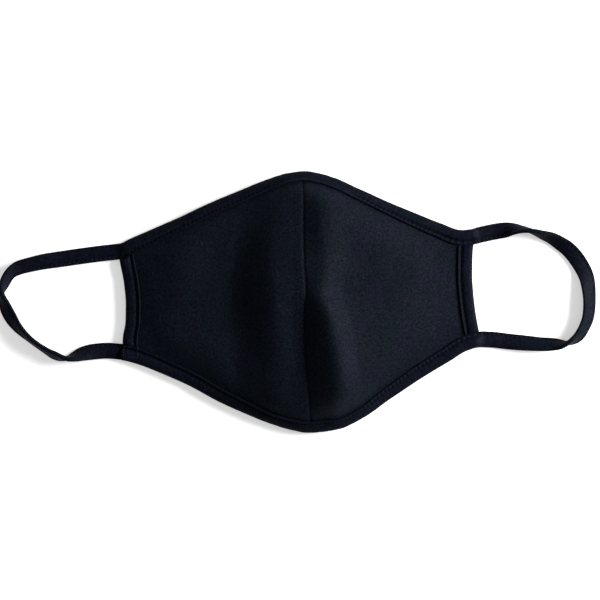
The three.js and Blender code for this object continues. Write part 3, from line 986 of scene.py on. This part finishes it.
def panel_mesh(name, short_edge, side, material):
    """One half panel as a closed sheet of cloth."""
    x, y = panel_grid(short_edge, side)
    facing = panel_facing(x, y, side)
    half = sizes()["panel_wall"] / 2
    front = cloth_point(x, y, half + panel_relief(x, y, side, True), facing)
    back = cloth_point(x, y, -half + panel_relief(x, y, side, False), facing)
    rows, columns = x.shape
    points = np.concatenate([front.reshape(-1, 3), back.reshape(-1, 3)])
    faces = grid_faces(rows, columns) + grid_faces(rows, columns, rows * columns, True)
    rim = rim_of(rows, columns)
    for i, corner in enumerate(rim):
        after = rim[(i + 1) % len(rim)]
        faces.append([corner, corner + rows * columns, after + rows * columns, after])
    across = way_along(row_steps(front, 1), 1)
    up = way_along(row_steps(front, 0), 0)
    one_side = np.stack([across.ravel() + PATTERN_SHIFT * (side > 0), up.ravel()], axis=1)
    return make_piece(name, points, facing_out(points, faces), np.vstack([one_side, one_side]), material)


def rim_of(rows, columns):
    """The outer points of a grid, in order."""
    rim = list(range(columns - 1))
    rim += [row * columns + columns - 1 for row in range(rows - 1)]
    rim += [(rows - 1) * columns + i for i in range(columns - 1, 0, -1)]
    rim += [row * columns for row in range(rows - 1, 0, -1)]
    return rim


# Stitches

# One stitch: share of its length from its middle, its height off the cloth in thread widths, and its taper
STITCH_ROWS = [
    (-0.5, -0.7, 0.45),
    (-0.38, 0.05, 0.95),
    (-0.2, 0.3, 1.0),
    (0.0, 0.36, 1.0),
    (0.2, 0.3, 1.0),
    (0.38, 0.05, 0.95),
    (0.5, -0.7, 0.45),
]
STITCH_ALONG, STITCH_LIFT, STITCH_TAPER = np.array(STITCH_ROWS).T

# The thread's section, and how far its pattern shifts from one stitch to the next
THREAD_SIDES = 6
THREAD_FLATNESS = 0.8
PLY_SHIFT = 7.3

# A tape's stitches: the step off the cloth that gives their facing, and how they wander across the tape
FACING_STEP = 0.5
STITCH_WANDER = 0.08
STITCH_WANDER_RATE = 1.7


def thread_mesh(name, paths, facing, material):
    """Short runs of thread along paths of points, each with the way that its cloth faces."""
    radius = sizes()["thread_width"] / 2
    runs, knots, _ = paths.shape
    heading = unit(np.gradient(paths, axis=1))
    sideways = unit(np.cross(heading, facing))
    upward = np.cross(sideways, heading)
    turn = np.linspace(0, 2 * math.pi, THREAD_SIDES, endpoint=False)
    ring = np.cos(turn)[:, None] * sideways[:, :, None, :]
    ring = ring + THREAD_FLATNESS * np.sin(turn)[:, None] * upward[:, :, None, :]
    points = (paths[:, :, None, :] + radius * STITCH_TAPER[:, None, None] * ring).reshape(-1, 3)
    faces = []
    for run in range(runs):
        faces += tube_faces(knots, THREAD_SIDES, run * knots * THREAD_SIDES)
    plies = way_along(row_steps(paths, 1)) + np.arange(runs)[:, None] * PLY_SHIFT
    way = np.broadcast_to(plies[:, :, None], (runs, knots, THREAD_SIDES))
    round_it = np.broadcast_to(turn / (2 * math.pi), (runs, knots, THREAD_SIDES))
    pattern = np.stack([way.ravel(), round_it.ravel()], axis=1)
    return make_piece(name, points, facing_out(points, faces), pattern, material)


def tape_stitch_paths(tape, middles, front):
    """Paths of the stitches along a tape, on its front or its back, and the way its cloth faces."""
    size = sizes()
    length = size["stitch_pitch"] * size["stitch_share"]
    along = (middles[:, None] + STITCH_ALONG * length).ravel()
    form = tape.form(along)
    inset = STITCH_INSET_SHARE * column(form["width"])
    inset = inset + STITCH_WANDER * np.sin(along * STITCH_WANDER_RATE)[:, None]
    surface = tape_outer(form, along, inset, front)
    lift = np.tile(STITCH_LIFT, len(middles))[:, None] * size["thread_width"]
    sign = 1.0 if front else -1.0
    paths = tape.place(along, inset, sign * (surface + lift))
    above = tape.place(along, inset, sign * (surface + lift + FACING_STEP))
    shape = (len(middles), len(STITCH_ALONG), 3)
    return paths.reshape(shape), unit(above - paths).reshape(shape)


def stitch_middles(start, end, pitch):
    """Places of stitches, a whole number of pitches apart, centred between two ends."""
    count = int((end - start) / pitch)
    return (start + end) / 2 + (np.arange(count) - (count - 1) / 2) * pitch


def tape_stitches(name, tape, start, end, material):
    """The row of stitches that shuts a tape, on both of its faces."""
    pitch = sizes()["stitch_pitch"]
    middles = stitch_middles(start, end, pitch)
    shown = middles
    if isinstance(tape, LongTape) and tape.edge is TOP_EDGE:
        x = np.interp(middles, tape.way, tape.x)
        shown = middles[(x < ROLLED_OVER[0]) | (x > ROLLED_OVER[1])]
    front = tape_stitch_paths(tape, shown, True)
    back = tape_stitch_paths(tape, middles, False)
    paths = np.concatenate([front[0], back[0]])
    facing = np.concatenate([front[1], back[1]])
    return thread_mesh(name, paths, facing, material)


def seam_stitches(material):
    """The topstitching beside the centre seam, on the left panel."""
    size = sizes()
    low = SECTION_ROWS[0][0] + SEAM_STITCHES_FROM_CHIN
    high = SECTION_ROWS[-1][0] - SEAM_STITCHES_FROM_NOSE
    middles = stitch_middles(low, high, size["seam_pitch"])
    length = size["seam_pitch"] * size["stitch_share"]
    y = middles[:, None] + STITCH_ALONG * length
    x = FORM["seam_x"].at(y) - SEAM_STITCH_INSET
    facing = panel_facing(x, y, -1)
    lift = STITCH_LIFT * size["thread_width"]
    front = cloth_point(x, y, size["panel_wall"] / 2 + panel_relief(x, y, -1, True) + lift, facing)
    back = cloth_point(x, y, -size["panel_wall"] / 2 + panel_relief(x, y, -1, False) - lift, facing)
    paths = np.concatenate([front, back])
    facing = np.concatenate([facing, -facing])
    return thread_mesh("seam_stitches", paths, facing, material)


def corner_tack(tape, material):
    """The small box of stitches that holds the ear loop's end under the chin binding's corner."""
    size = sizes()
    low_x, low_y, high_x, high_y = CORNER_TACK
    corners = [(low_x, low_y), (high_x, low_y), (high_x, high_y), (low_x, high_y), (low_x, low_y)]
    paths = []
    for (x0, y0), (x1, y1) in zip(corners, corners[1:]):
        count = int(round(math.hypot(x1 - x0, y1 - y0) / TACK_PITCH))
        for i in range(count):
            part = (i + 0.5 + STITCH_ALONG * TACK_COVER) / count
            paths.append(np.stack([lerp(x0, x1, part), lerp(y0, y1, part)], axis=1))
    paths = np.array(paths)
    x, y = paths[..., 0], paths[..., 1]
    distance, foot = distance_to(BOTTOM_EDGE, x, y)
    along = np.interp(foot.ravel(), tape.x, tape.way)
    inset = distance.ravel()[:, None]
    surface = tape_outer(tape.form(along), along, inset, True)
    lift = np.tile(STITCH_LIFT, len(paths))[:, None] * size["thread_width"]
    points = tape.place(along, inset, surface + lift).reshape(len(paths), len(STITCH_ALONG), 3)
    facing = np.broadcast_to(np.array([0.0, 0.0, 1.0]), points.shape)
    return thread_mesh("corner_tack_stitches", points, facing, material)


# Shader node groups

# The knit's loops: how fast their unevenness changes, their rows' share of the height, the heights that
# turn from dark to light, and how much of that painted shade, darker between the loops, shows in the colour
LOOP_UNEVEN_RATE = 0.55
LOOP_WAVE_SHARE = 0.55
LOOP_HEIGHTS = (0.1, 0.9)
LOOP_PAINTED_SHADE = 0.5

# The noise values between which the grain, the tints' clouds and the painted glints (small light flecks) rise
# from nothing to full
GRAIN_RANGE = (0.28, 0.72)
CLOUD_RANGE = (0.36, 0.64)
PAINTED_GLINT_RANGE = (0.66, 0.78)
PAINTED_GLINT_FINENESS = 1.3
PAINTED_GLINT_GAIN = 0.7


def new_group(name, inputs, outputs):
    """An empty node group with named sockets, and its input and output nodes."""
    group = bpy.data.node_groups.new(name, "ShaderNodeTree")
    for label, kind, default in inputs:
        socket = group.interface.new_socket(name=label, in_out="INPUT", socket_type=kind)
        if default is not None:
            socket.default_value = default
    for label, kind in outputs:
        group.interface.new_socket(name=label, in_out="OUTPUT", socket_type=kind)
    return group, group.nodes.new("NodeGroupInput"), group.nodes.new("NodeGroupOutput")


def put(tree, value, socket):
    """Sets a socket to a value, or links another socket to it."""
    if isinstance(value, bpy.types.NodeSocket):
        tree.links.new(value, socket)
    else:
        socket.default_value = value


def set_values(tree, node, values):
    """Sets a node's sockets by name, each to a value or from another socket."""
    for label, value in values.items():
        put(tree, value, node.inputs[label])
    return node


def group_node(tree, group, values):
    """A node group placed in a material with its own values."""
    node = tree.nodes.new("ShaderNodeGroup")
    node.node_tree = group
    return set_values(tree, node, values)


def math_node(tree, operation, *values):
    node = tree.nodes.new("ShaderNodeMath")
    node.operation = operation
    for i, value in enumerate(values):
        put(tree, value, node.inputs[i])
    return node.outputs[0]


def wave_node(tree, turns):
    """A wave from 0 to 1 and back with each whole turn."""
    wave = math_node(tree, "SINE", math_node(tree, "MULTIPLY", turns, 2 * math.pi))
    return math_node(tree, "MULTIPLY_ADD", wave, 0.5, 0.5)


def noise_node(tree, vector, scale, detail):
    node = tree.nodes.new("ShaderNodeTexNoise")
    return set_values(tree, node, {"Vector": vector, "Scale": scale, "Detail": detail}).outputs["Fac"]


def range_node(tree, value, low, high, to_low=0.0, to_high=1.0):
    node = tree.nodes.new("ShaderNodeMapRange")
    given = {"Value": value, "From Min": low, "From Max": high, "To Min": to_low, "To Max": to_high}
    return set_values(tree, node, given).outputs["Result"]


def mix_colour(tree, factor, first, second, blend="MIX"):
    node = tree.nodes.new("ShaderNodeMix")
    node.data_type = "RGBA"
    node.blend_type = blend
    return set_values(tree, node, {"Factor": factor, "A": first, "B": second}).outputs["Result"]


def knit_group():
    """Rows of small V-shaped loops, as on the front of a fine knit, with a painted shade that is darker
    between them.
    """
    tree, given, result = new_group(
        "Knit loops",
        [
            ("Coordinates", "NodeSocketVector", None),
            ("Column Pitch", "NodeSocketFloat", 0.9),
            ("Row Pitch", "NodeSocketFloat", 0.8),
            ("Unevenness", "NodeSocketFloat", 0.3),
        ],
        [("Height", "NodeSocketFloat"), ("Painted Shade", "NodeSocketFloat")],
    )
    split = tree.nodes.new("ShaderNodeSeparateXYZ")
    put(tree, given.outputs["Coordinates"], split.inputs[0])
    uneven = noise_node(tree, given.outputs["Coordinates"], LOOP_UNEVEN_RATE, detail=3.0)
    wobble = math_node(tree, "SUBTRACT", uneven, 0.5)
    wobble = math_node(tree, "MULTIPLY", wobble, given.outputs["Unevenness"])
    across = math_node(tree, "DIVIDE", split.outputs["X"], given.outputs["Column Pitch"])
    across = math_node(tree, "ADD", across, wobble)
    slant = math_node(tree, "PINGPONG", across, 0.5)
    up = math_node(tree, "DIVIDE", split.outputs["Y"], given.outputs["Row Pitch"])
    up = math_node(tree, "ADD", up, slant)
    up = math_node(tree, "ADD", up, wobble)
    ridge = math_node(tree, "SINE", math_node(tree, "MULTIPLY", slant, 2 * math.pi))
    ridge = math_node(tree, "MULTIPLY", ridge, 1 - LOOP_WAVE_SHARE)
    height = math_node(tree, "MULTIPLY_ADD", wave_node(tree, up), LOOP_WAVE_SHARE, ridge)
    # Painted shade: the loops' colour is darker where their height is low, between them
    set_values(tree, result, {"Height": height, "Painted Shade": range_node(tree, height, *LOOP_HEIGHTS)})
    return tree


def mottle_group():
    """Change over the cloth: fine grain, a slow drift between two tints, and small light flecks that are
    painted glints.
    """
    tree, given, result = new_group(
        "Cloth mottle",
        [("Grain Size", "NodeSocketFloat", 1.1), ("Cloud Size", "NodeSocketFloat", 9.0)],
        [("Grain", "NodeSocketFloat"), ("Tint", "NodeSocketFloat"), ("Painted Glints", "NodeSocketFloat")],
    )
    place = tree.nodes.new("ShaderNodeTexCoord").outputs["Object"]
    grain_scale = math_node(tree, "DIVIDE", 1 / MM, given.outputs["Grain Size"])
    cloud_scale = math_node(tree, "DIVIDE", 1 / MM, given.outputs["Cloud Size"])
    grain = noise_node(tree, place, grain_scale, detail=2.0)
    cloud = noise_node(tree, place, cloud_scale, detail=3.0)
    # Painted glints: small light flecks that stand in for the knit's glints
    glint_scale = math_node(tree, "MULTIPLY", grain_scale, PAINTED_GLINT_FINENESS)
    glint_noise = noise_node(tree, place, glint_scale, detail=0.0)
    set_values(tree, result, {
        "Grain": range_node(tree, grain, *GRAIN_RANGE),
        "Tint": range_node(tree, cloud, *CLOUD_RANGE),
        "Painted Glints": range_node(tree, glint_noise, *PAINTED_GLINT_RANGE),
    })
    return tree


def dye_and_shade_group():
    """A cloth's colour from two tints, with painted shade between its loops, broken up by grain and by
    painted glints.
    """
    tree, given, result = new_group(
        "Dyed cloth and painted shade",
        [
            ("Cool Tint", "NodeSocketColor", None),
            ("Warm Tint", "NodeSocketColor", None),
            ("Tint", "NodeSocketFloat", 0.5),
            ("Painted Loop Shade", "NodeSocketFloat", 0.5),
            ("Grain", "NodeSocketFloat", 0.5),
            ("Painted Glints", "NodeSocketFloat", 0.0),
            ("Contrast", "NodeSocketFloat", 0.4),
        ],
        [("Colour", "NodeSocketColor")],
    )
    contrast = given.outputs["Contrast"]
    tint = mix_colour(tree, given.outputs["Tint"], given.outputs["Cool Tint"], given.outputs["Warm Tint"])
    grain = math_node(tree, "MULTIPLY_ADD", given.outputs["Grain"], 2.0, -1.0)
    grain = math_node(tree, "MULTIPLY_ADD", grain, contrast, 1.0)
    # Painted shade: darker between the knit's loops
    loops = math_node(tree, "MULTIPLY_ADD", given.outputs["Painted Loop Shade"], LOOP_PAINTED_SHADE, 1 - LOOP_PAINTED_SHADE / 2)
    # Painted glints: small light flecks lighten the colour
    painted_glints = math_node(tree, "MULTIPLY_ADD", given.outputs["Painted Glints"], PAINTED_GLINT_GAIN, 1.0)
    brightness = math_node(tree, "MULTIPLY", math_node(tree, "MULTIPLY", grain, loops), painted_glints)
    put(tree, mix_colour(tree, 1.0, tint, brightness, "MULTIPLY"), result.inputs["Colour"])
    return tree


# Materials

# The dyed cloth's two tints, as shares of its colour
COOL_TINT = (0.87, 1.06, 0.92)
WARM_TINT = (1.16, 0.94, 1.1)

# How the panels and the tape look; sizes and relief in millimetres
CLOTH_SPECULAR = 0.03
PANEL_LOOKS = {
    "unevenness": 0.5,
    "grain_size": 1.15,
    "cloud_size": 10.0,
    "contrast": 0.65,
    "roughness": (0.72, 0.58),
    "bump": 0.5,
    "relief": 0.12,
}
TAPE_LOOKS = {
    "unevenness": 0.35,
    "grain_size": 1.3,
    "cloud_size": 7.0,
    "contrast": 0.6,
    "roughness": (0.65, 0.55),
    "bump": 0.4,
    "relief": 0.08,
}
RIB_CROWDING = 0.8

# The thread's plies: turns to a millimetre, darkest and lightest painted shade (darker in the grooves between
# plies), roughness, and relief in millimetres
PLY_TWIST = 2.2
PLY_PAINTED_SHADES = (0.6, 1.3)
PLY_ROUGHNESS = (0.7, 0.6)
PLY_BUMP = 0.5
PLY_RELIEF = 0.05
THREAD_FUZZ_SHADE = 1.1
THREAD_GRAIN = {"Grain Size": 0.8, "Cloud Size": 6.0}
THREAD_SPECULAR = 0.1

FLOOR_ROUGHNESS = 0.8
FLOOR_SPECULAR = 0.2
WHITE = (1.0, 1.0, 1.0, 1.0)


def tinted(colour, red, green, blue):
    """The same colour with each channel scaled, ready for a socket."""
    return (colour[0] * red, colour[1] * green, colour[2] * blue, 1.0)


def shade(colour, factor):
    """The same colour made darker or lighter, ready for a socket."""
    return tinted(colour, factor, factor, factor)


def new_material(name, values):
    """A material with its shader's own values set, and its tree and shader."""
    material = bpy.data.materials.new(name)
    material.use_nodes = True
    tree = material.node_tree
    return material, tree, set_values(tree, tree.nodes["Principled BSDF"], values)


def pattern_of(tree):
    """The pattern's coordinates, in millimetres along and across the cloth."""
    node = tree.nodes.new("ShaderNodeUVMap")
    node.uv_map = UV_NAME
    return node.outputs["UV"]


def bump_onto(tree, shader, height, strength, relief):
    bump = tree.nodes.new("ShaderNodeBump")
    set_values(tree, bump, {"Strength": strength, "Distance": relief * MM, "Height": height})
    put(tree, bump.outputs["Normal"], shader.inputs["Normal"])


def knit_material(groups, name, colour, column_pitch, row_pitch, looks):
    """Dyed knit cloth, with its loops, grain and tints, painted shade between the loops and painted glints.
    """
    material, tree, shader = new_material(name, {"Specular IOR Level": CLOTH_SPECULAR})
    knit = group_node(tree, groups["knit"], {
        "Coordinates": pattern_of(tree),
        "Column Pitch": column_pitch,
        "Row Pitch": row_pitch,
        "Unevenness": looks["unevenness"],
    })
    mottle = group_node(tree, groups["mottle"], {
        "Grain Size": looks["grain_size"],
        "Cloud Size": looks["cloud_size"],
    })
    dye_and_shade = group_node(tree, groups["dye_and_shade"], {
        "Cool Tint": tinted(colour, *COOL_TINT),
        "Warm Tint": tinted(colour, *WARM_TINT),
        "Tint": mottle.outputs["Tint"],
        "Painted Loop Shade": knit.outputs["Painted Shade"],
        "Grain": mottle.outputs["Grain"],
        "Painted Glints": mottle.outputs["Painted Glints"],
        "Contrast": looks["contrast"],
    })
    roughness = range_node(tree, mottle.outputs["Grain"], 0, 1, *looks["roughness"])
    set_values(tree, shader, {"Base Color": dye_and_shade.outputs["Colour"], "Roughness": roughness})
    bump_onto(tree, shader, knit.outputs["Height"], looks["bump"], looks["relief"])
    return material


def cloth_material(groups):
    """Fine matt knit of the two half panels."""
    size = sizes()
    colour = bpy.context.scene.mask_colours.panel_cloth
    return knit_material(groups, "panel_knit", colour, size["wale_pitch"], size["course_pitch"], PANEL_LOOKS)


def tape_material(groups):
    """Soft stretch tape with fine ribs along it."""
    rib = sizes()["tape_rib_pitch"]
    colour = bpy.context.scene.mask_colours.binding_tape
    return knit_material(groups, "stretch_tape", colour, RIB_CROWDING * rib, rib, TAPE_LOOKS)


def thread_material(groups):
    """Twisted thread, nearly matt, with painted shade in the grooves between its plies."""
    colour = bpy.context.scene.mask_colours.sewing_thread
    material, tree, shader = new_material("sewing_thread", {"Specular IOR Level": THREAD_SPECULAR})
    split = tree.nodes.new("ShaderNodeSeparateXYZ")
    put(tree, pattern_of(tree), split.inputs[0])
    twist = math_node(tree, "MULTIPLY_ADD", split.outputs["X"], PLY_TWIST, split.outputs["Y"])
    wave = wave_node(tree, twist)
    mottle = group_node(tree, groups["mottle"], THREAD_GRAIN)
    # Painted shade: the plies are darker where their relief is low, in the grooves between them
    plies = mix_colour(tree, wave, *(shade(colour, factor) for factor in PLY_PAINTED_SHADES))
    dyed_and_shaded = mix_colour(tree, mottle.outputs["Grain"], plies, shade(colour, THREAD_FUZZ_SHADE))
    roughness = range_node(tree, wave, 0, 1, *PLY_ROUGHNESS)
    set_values(tree, shader, {"Base Color": dyed_and_shaded, "Roughness": roughness})
    bump_onto(tree, shader, wave, PLY_BUMP, PLY_RELIEF)
    return material


def floor_material():
    """Smooth matt white surface."""
    scene = bpy.context.scene
    return new_material("white_floor", {
        "Base Color": shade(scene.mask_colours.floor, 1.0),
        "Roughness": FLOOR_ROUGHNESS,
        "Specular IOR Level": FLOOR_SPECULAR,
        "Emission Color": WHITE,
        "Emission Strength": scene.mask_stage.floor_glow,
    })[0]


def materials():
    """The mask's materials by name, made once."""
    made = bpy.data.materials
    if "panel_knit" not in made:
        groups = {"knit": knit_group(), "mottle": mottle_group(), "dye_and_shade": dye_and_shade_group()}
        cloth_material(groups)
        tape_material(groups)
        thread_material(groups)
    return {"cloth": made["panel_knit"], "tape": made["stretch_tape"], "thread": made["sewing_thread"]}


# Joining pieces to the frame

def take_place(piece, solid):
    """A cloth piece stands for a solid and lies where that lies."""
    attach(piece, BODY)
    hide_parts(solid)


def sew_onto(stitches, piece):
    """Stitches go wherever their cloth goes."""
    stitches.parent = piece


def dress_tape(name, tape, start, stitch_start, stitch_end):
    """A binding or an ear loop as its folded tape, with the row of stitches that shuts it."""
    made = materials()
    piece = tape_mesh(name + "_tape", tape, start, tape.length, made["tape"])
    take_place(piece, name)
    sew_onto(tape_stitches(name + "_stitches", tape, stitch_start, stitch_end, made["thread"]), piece)
    return piece


class FACE_MASK_OT_panels(bpy.types.Operator):
    """Make the two knit half panels and the stitching beside their seam"""

    bl_idname = "face_mask.panels"
    bl_label = "Half panels"

    def execute(self, context):
        made = materials()
        left = panel_mesh("left_panel_cloth", LEFT_EDGE, -1, made["cloth"])
        right = panel_mesh("right_panel_cloth", RIGHT_EDGE, 1, made["cloth"])
        take_place(left, "left_panel")
        take_place(right, "right_panel")
        sew_onto(seam_stitches(made["thread"]), left)
        return {"FINISHED"}


class FACE_MASK_OT_bindings(bpy.types.Operator):
    """Make the folded tape round the mask's four edges, with its stitches"""

    bl_idname = "face_mask.bindings"
    bl_label = "Bindings"

    def execute(self, context):
        tapes = make_tapes()
        for name in ("top_binding", "bottom_binding", "left_side_binding", "right_side_binding"):
            tape = tapes[name]
            margin = SHORT_STITCH_MARGIN if isinstance(tape, ShortTape) else 0.0
            start = CHIN_STITCH_START if name == "bottom_binding" else margin
            piece = dress_tape(name, tape, 0.0, start, tape.length - margin)
            if name == "bottom_binding":
                sew_onto(corner_tack(tape, materials()["thread"]), piece)
        return {"FINISHED"}


class FACE_MASK_OT_ear_loops(bpy.types.Operator):
    """Make the two ear loops of folded tape, with their stitches"""

    bl_idname = "face_mask.ear_loops"
    bl_label = "Ear loops"

    def execute(self, context):
        tapes = make_tapes()
        for name in ("left_ear_loop", "right_ear_loop"):
            tape = tapes[name]
            start = -LOOP_TUCKED_LENGTH if tape.tucked_start else 0.0
            dress_tape(name, tape, start, LOOP_STITCH_START, tape.length)
        return {"FINISHED"}


def lay_floor():
    """A wide flat floor under the mask."""
    mesh = bpy.data.meshes.new("floor")
    corners = [(x * FLOOR_REACH, y * FLOOR_REACH, 0.0) for x, y in ((-1, -1), (1, -1), (1, 1), (-1, 1))]
    mesh.from_pydata(corners, [], [(0, 1, 2, 3)])
    mesh.materials.append(floor_material())
    floor = bpy.data.objects.new("floor", mesh)
    floor.location.z = -FLOOR_DROP
    bpy.context.scene.collection.objects.link(floor)


def hang_key_light():
    """The large soft light on the mask's right."""
    stage = bpy.context.scene.mask_stage
    light = bpy.data.lights.new("key_light", "AREA")
    light.shape = "RECTANGLE"
    light.size = stage.key_size
    light.size_y = stage.key_size
    light.energy = stage.key_power
    lamp = bpy.data.objects.new("key_light", light)
    level = math.cos(stage.key_rise)
    lamp.location = (
        stage.key_distance * level * math.cos(stage.key_turn),
        stage.key_distance * level * math.sin(stage.key_turn),
        stage.key_distance * math.sin(stage.key_rise),
    )
    lamp.rotation_euler = lamp.location.to_track_quat("Z", "Y").to_euler()
    bpy.context.scene.collection.objects.link(lamp)


def set_fill():
    """Even light from all round."""
    world = bpy.data.worlds.new("even_light")
    world.use_nodes = True
    strength = bpy.context.scene.mask_stage.fill_strength
    background = world.node_tree.nodes["Background"]
    set_values(world.node_tree, background, {"Color": WHITE, "Strength": strength})
    bpy.context.scene.world = world


def set_camera():
    """The camera looks straight down, as in the photograph."""
    height = bpy.context.scene.mask_stage.camera_height
    lens = bpy.data.cameras.new("camera")
    lens.sensor_width = SENSOR_WIDTH
    lens.lens = SENSOR_WIDTH * height / FRAME_WIDTH
    lens.clip_end = CAMERA_REACH
    camera = bpy.data.objects.new("camera", lens)
    camera.location = (CAMERA_CENTRE[0], CAMERA_CENTRE[1], height)
    bpy.context.scene.collection.objects.link(camera)
    bpy.context.scene.camera = camera


class FACE_MASK_OT_stage(bpy.types.Operator):
    """Lay the floor, hang the lights and set the camera"""

    bl_idname = "face_mask.stage"
    bl_label = "Stage"

    def execute(self, context):
        lay_floor()
        hang_key_light()
        set_fill()
        set_camera()
        context.scene.view_settings.view_transform = "Standard"
        return {"FINISHED"}


class FACE_MASK_PT_sidebar(bpy.types.Panel):
    """The mask's sizes, colours and steps"""

    bl_label = "Face mask"
    bl_space_type = "VIEW_3D"
    bl_region_type = "UI"
    bl_category = "Mask"

    def draw(self, context):
        for group in (context.scene.mask_sizes, context.scene.mask_colours, context.scene.mask_stage):
            box = self.layout.box()
            for name in group.__annotations__:
                box.prop(group, name)
        for step in (FACE_MASK_OT_panels, FACE_MASK_OT_bindings, FACE_MASK_OT_ear_loops, FACE_MASK_OT_stage):
            self.layout.operator(step.bl_idname)


CLASSES = (
    MaskSizes,
    MaskColours,
    MaskStage,
    FACE_MASK_OT_panels,
    FACE_MASK_OT_bindings,
    FACE_MASK_OT_ear_loops,
    FACE_MASK_OT_stage,
    FACE_MASK_PT_sidebar,
)


def register():
    for item in CLASSES:
        bpy.utils.register_class(item)
    bpy.types.Scene.mask_sizes = bpy.props.PointerProperty(type=MaskSizes)
    bpy.types.Scene.mask_colours = bpy.props.PointerProperty(type=MaskColours)
    bpy.types.Scene.mask_stage = bpy.props.PointerProperty(type=MaskStage)


def unregister():
    del bpy.types.Scene.mask_stage
    del bpy.types.Scene.mask_colours
    del bpy.types.Scene.mask_sizes
    for item in reversed(CLASSES):
        bpy.utils.unregister_class(item)


def main():
    register()
    bpy.ops.face_mask.panels()
    bpy.ops.face_mask.bindings()
    bpy.ops.face_mask.ear_loops()
    bpy.ops.face_mask.stage()


if __name__ == "__main__":
    main()
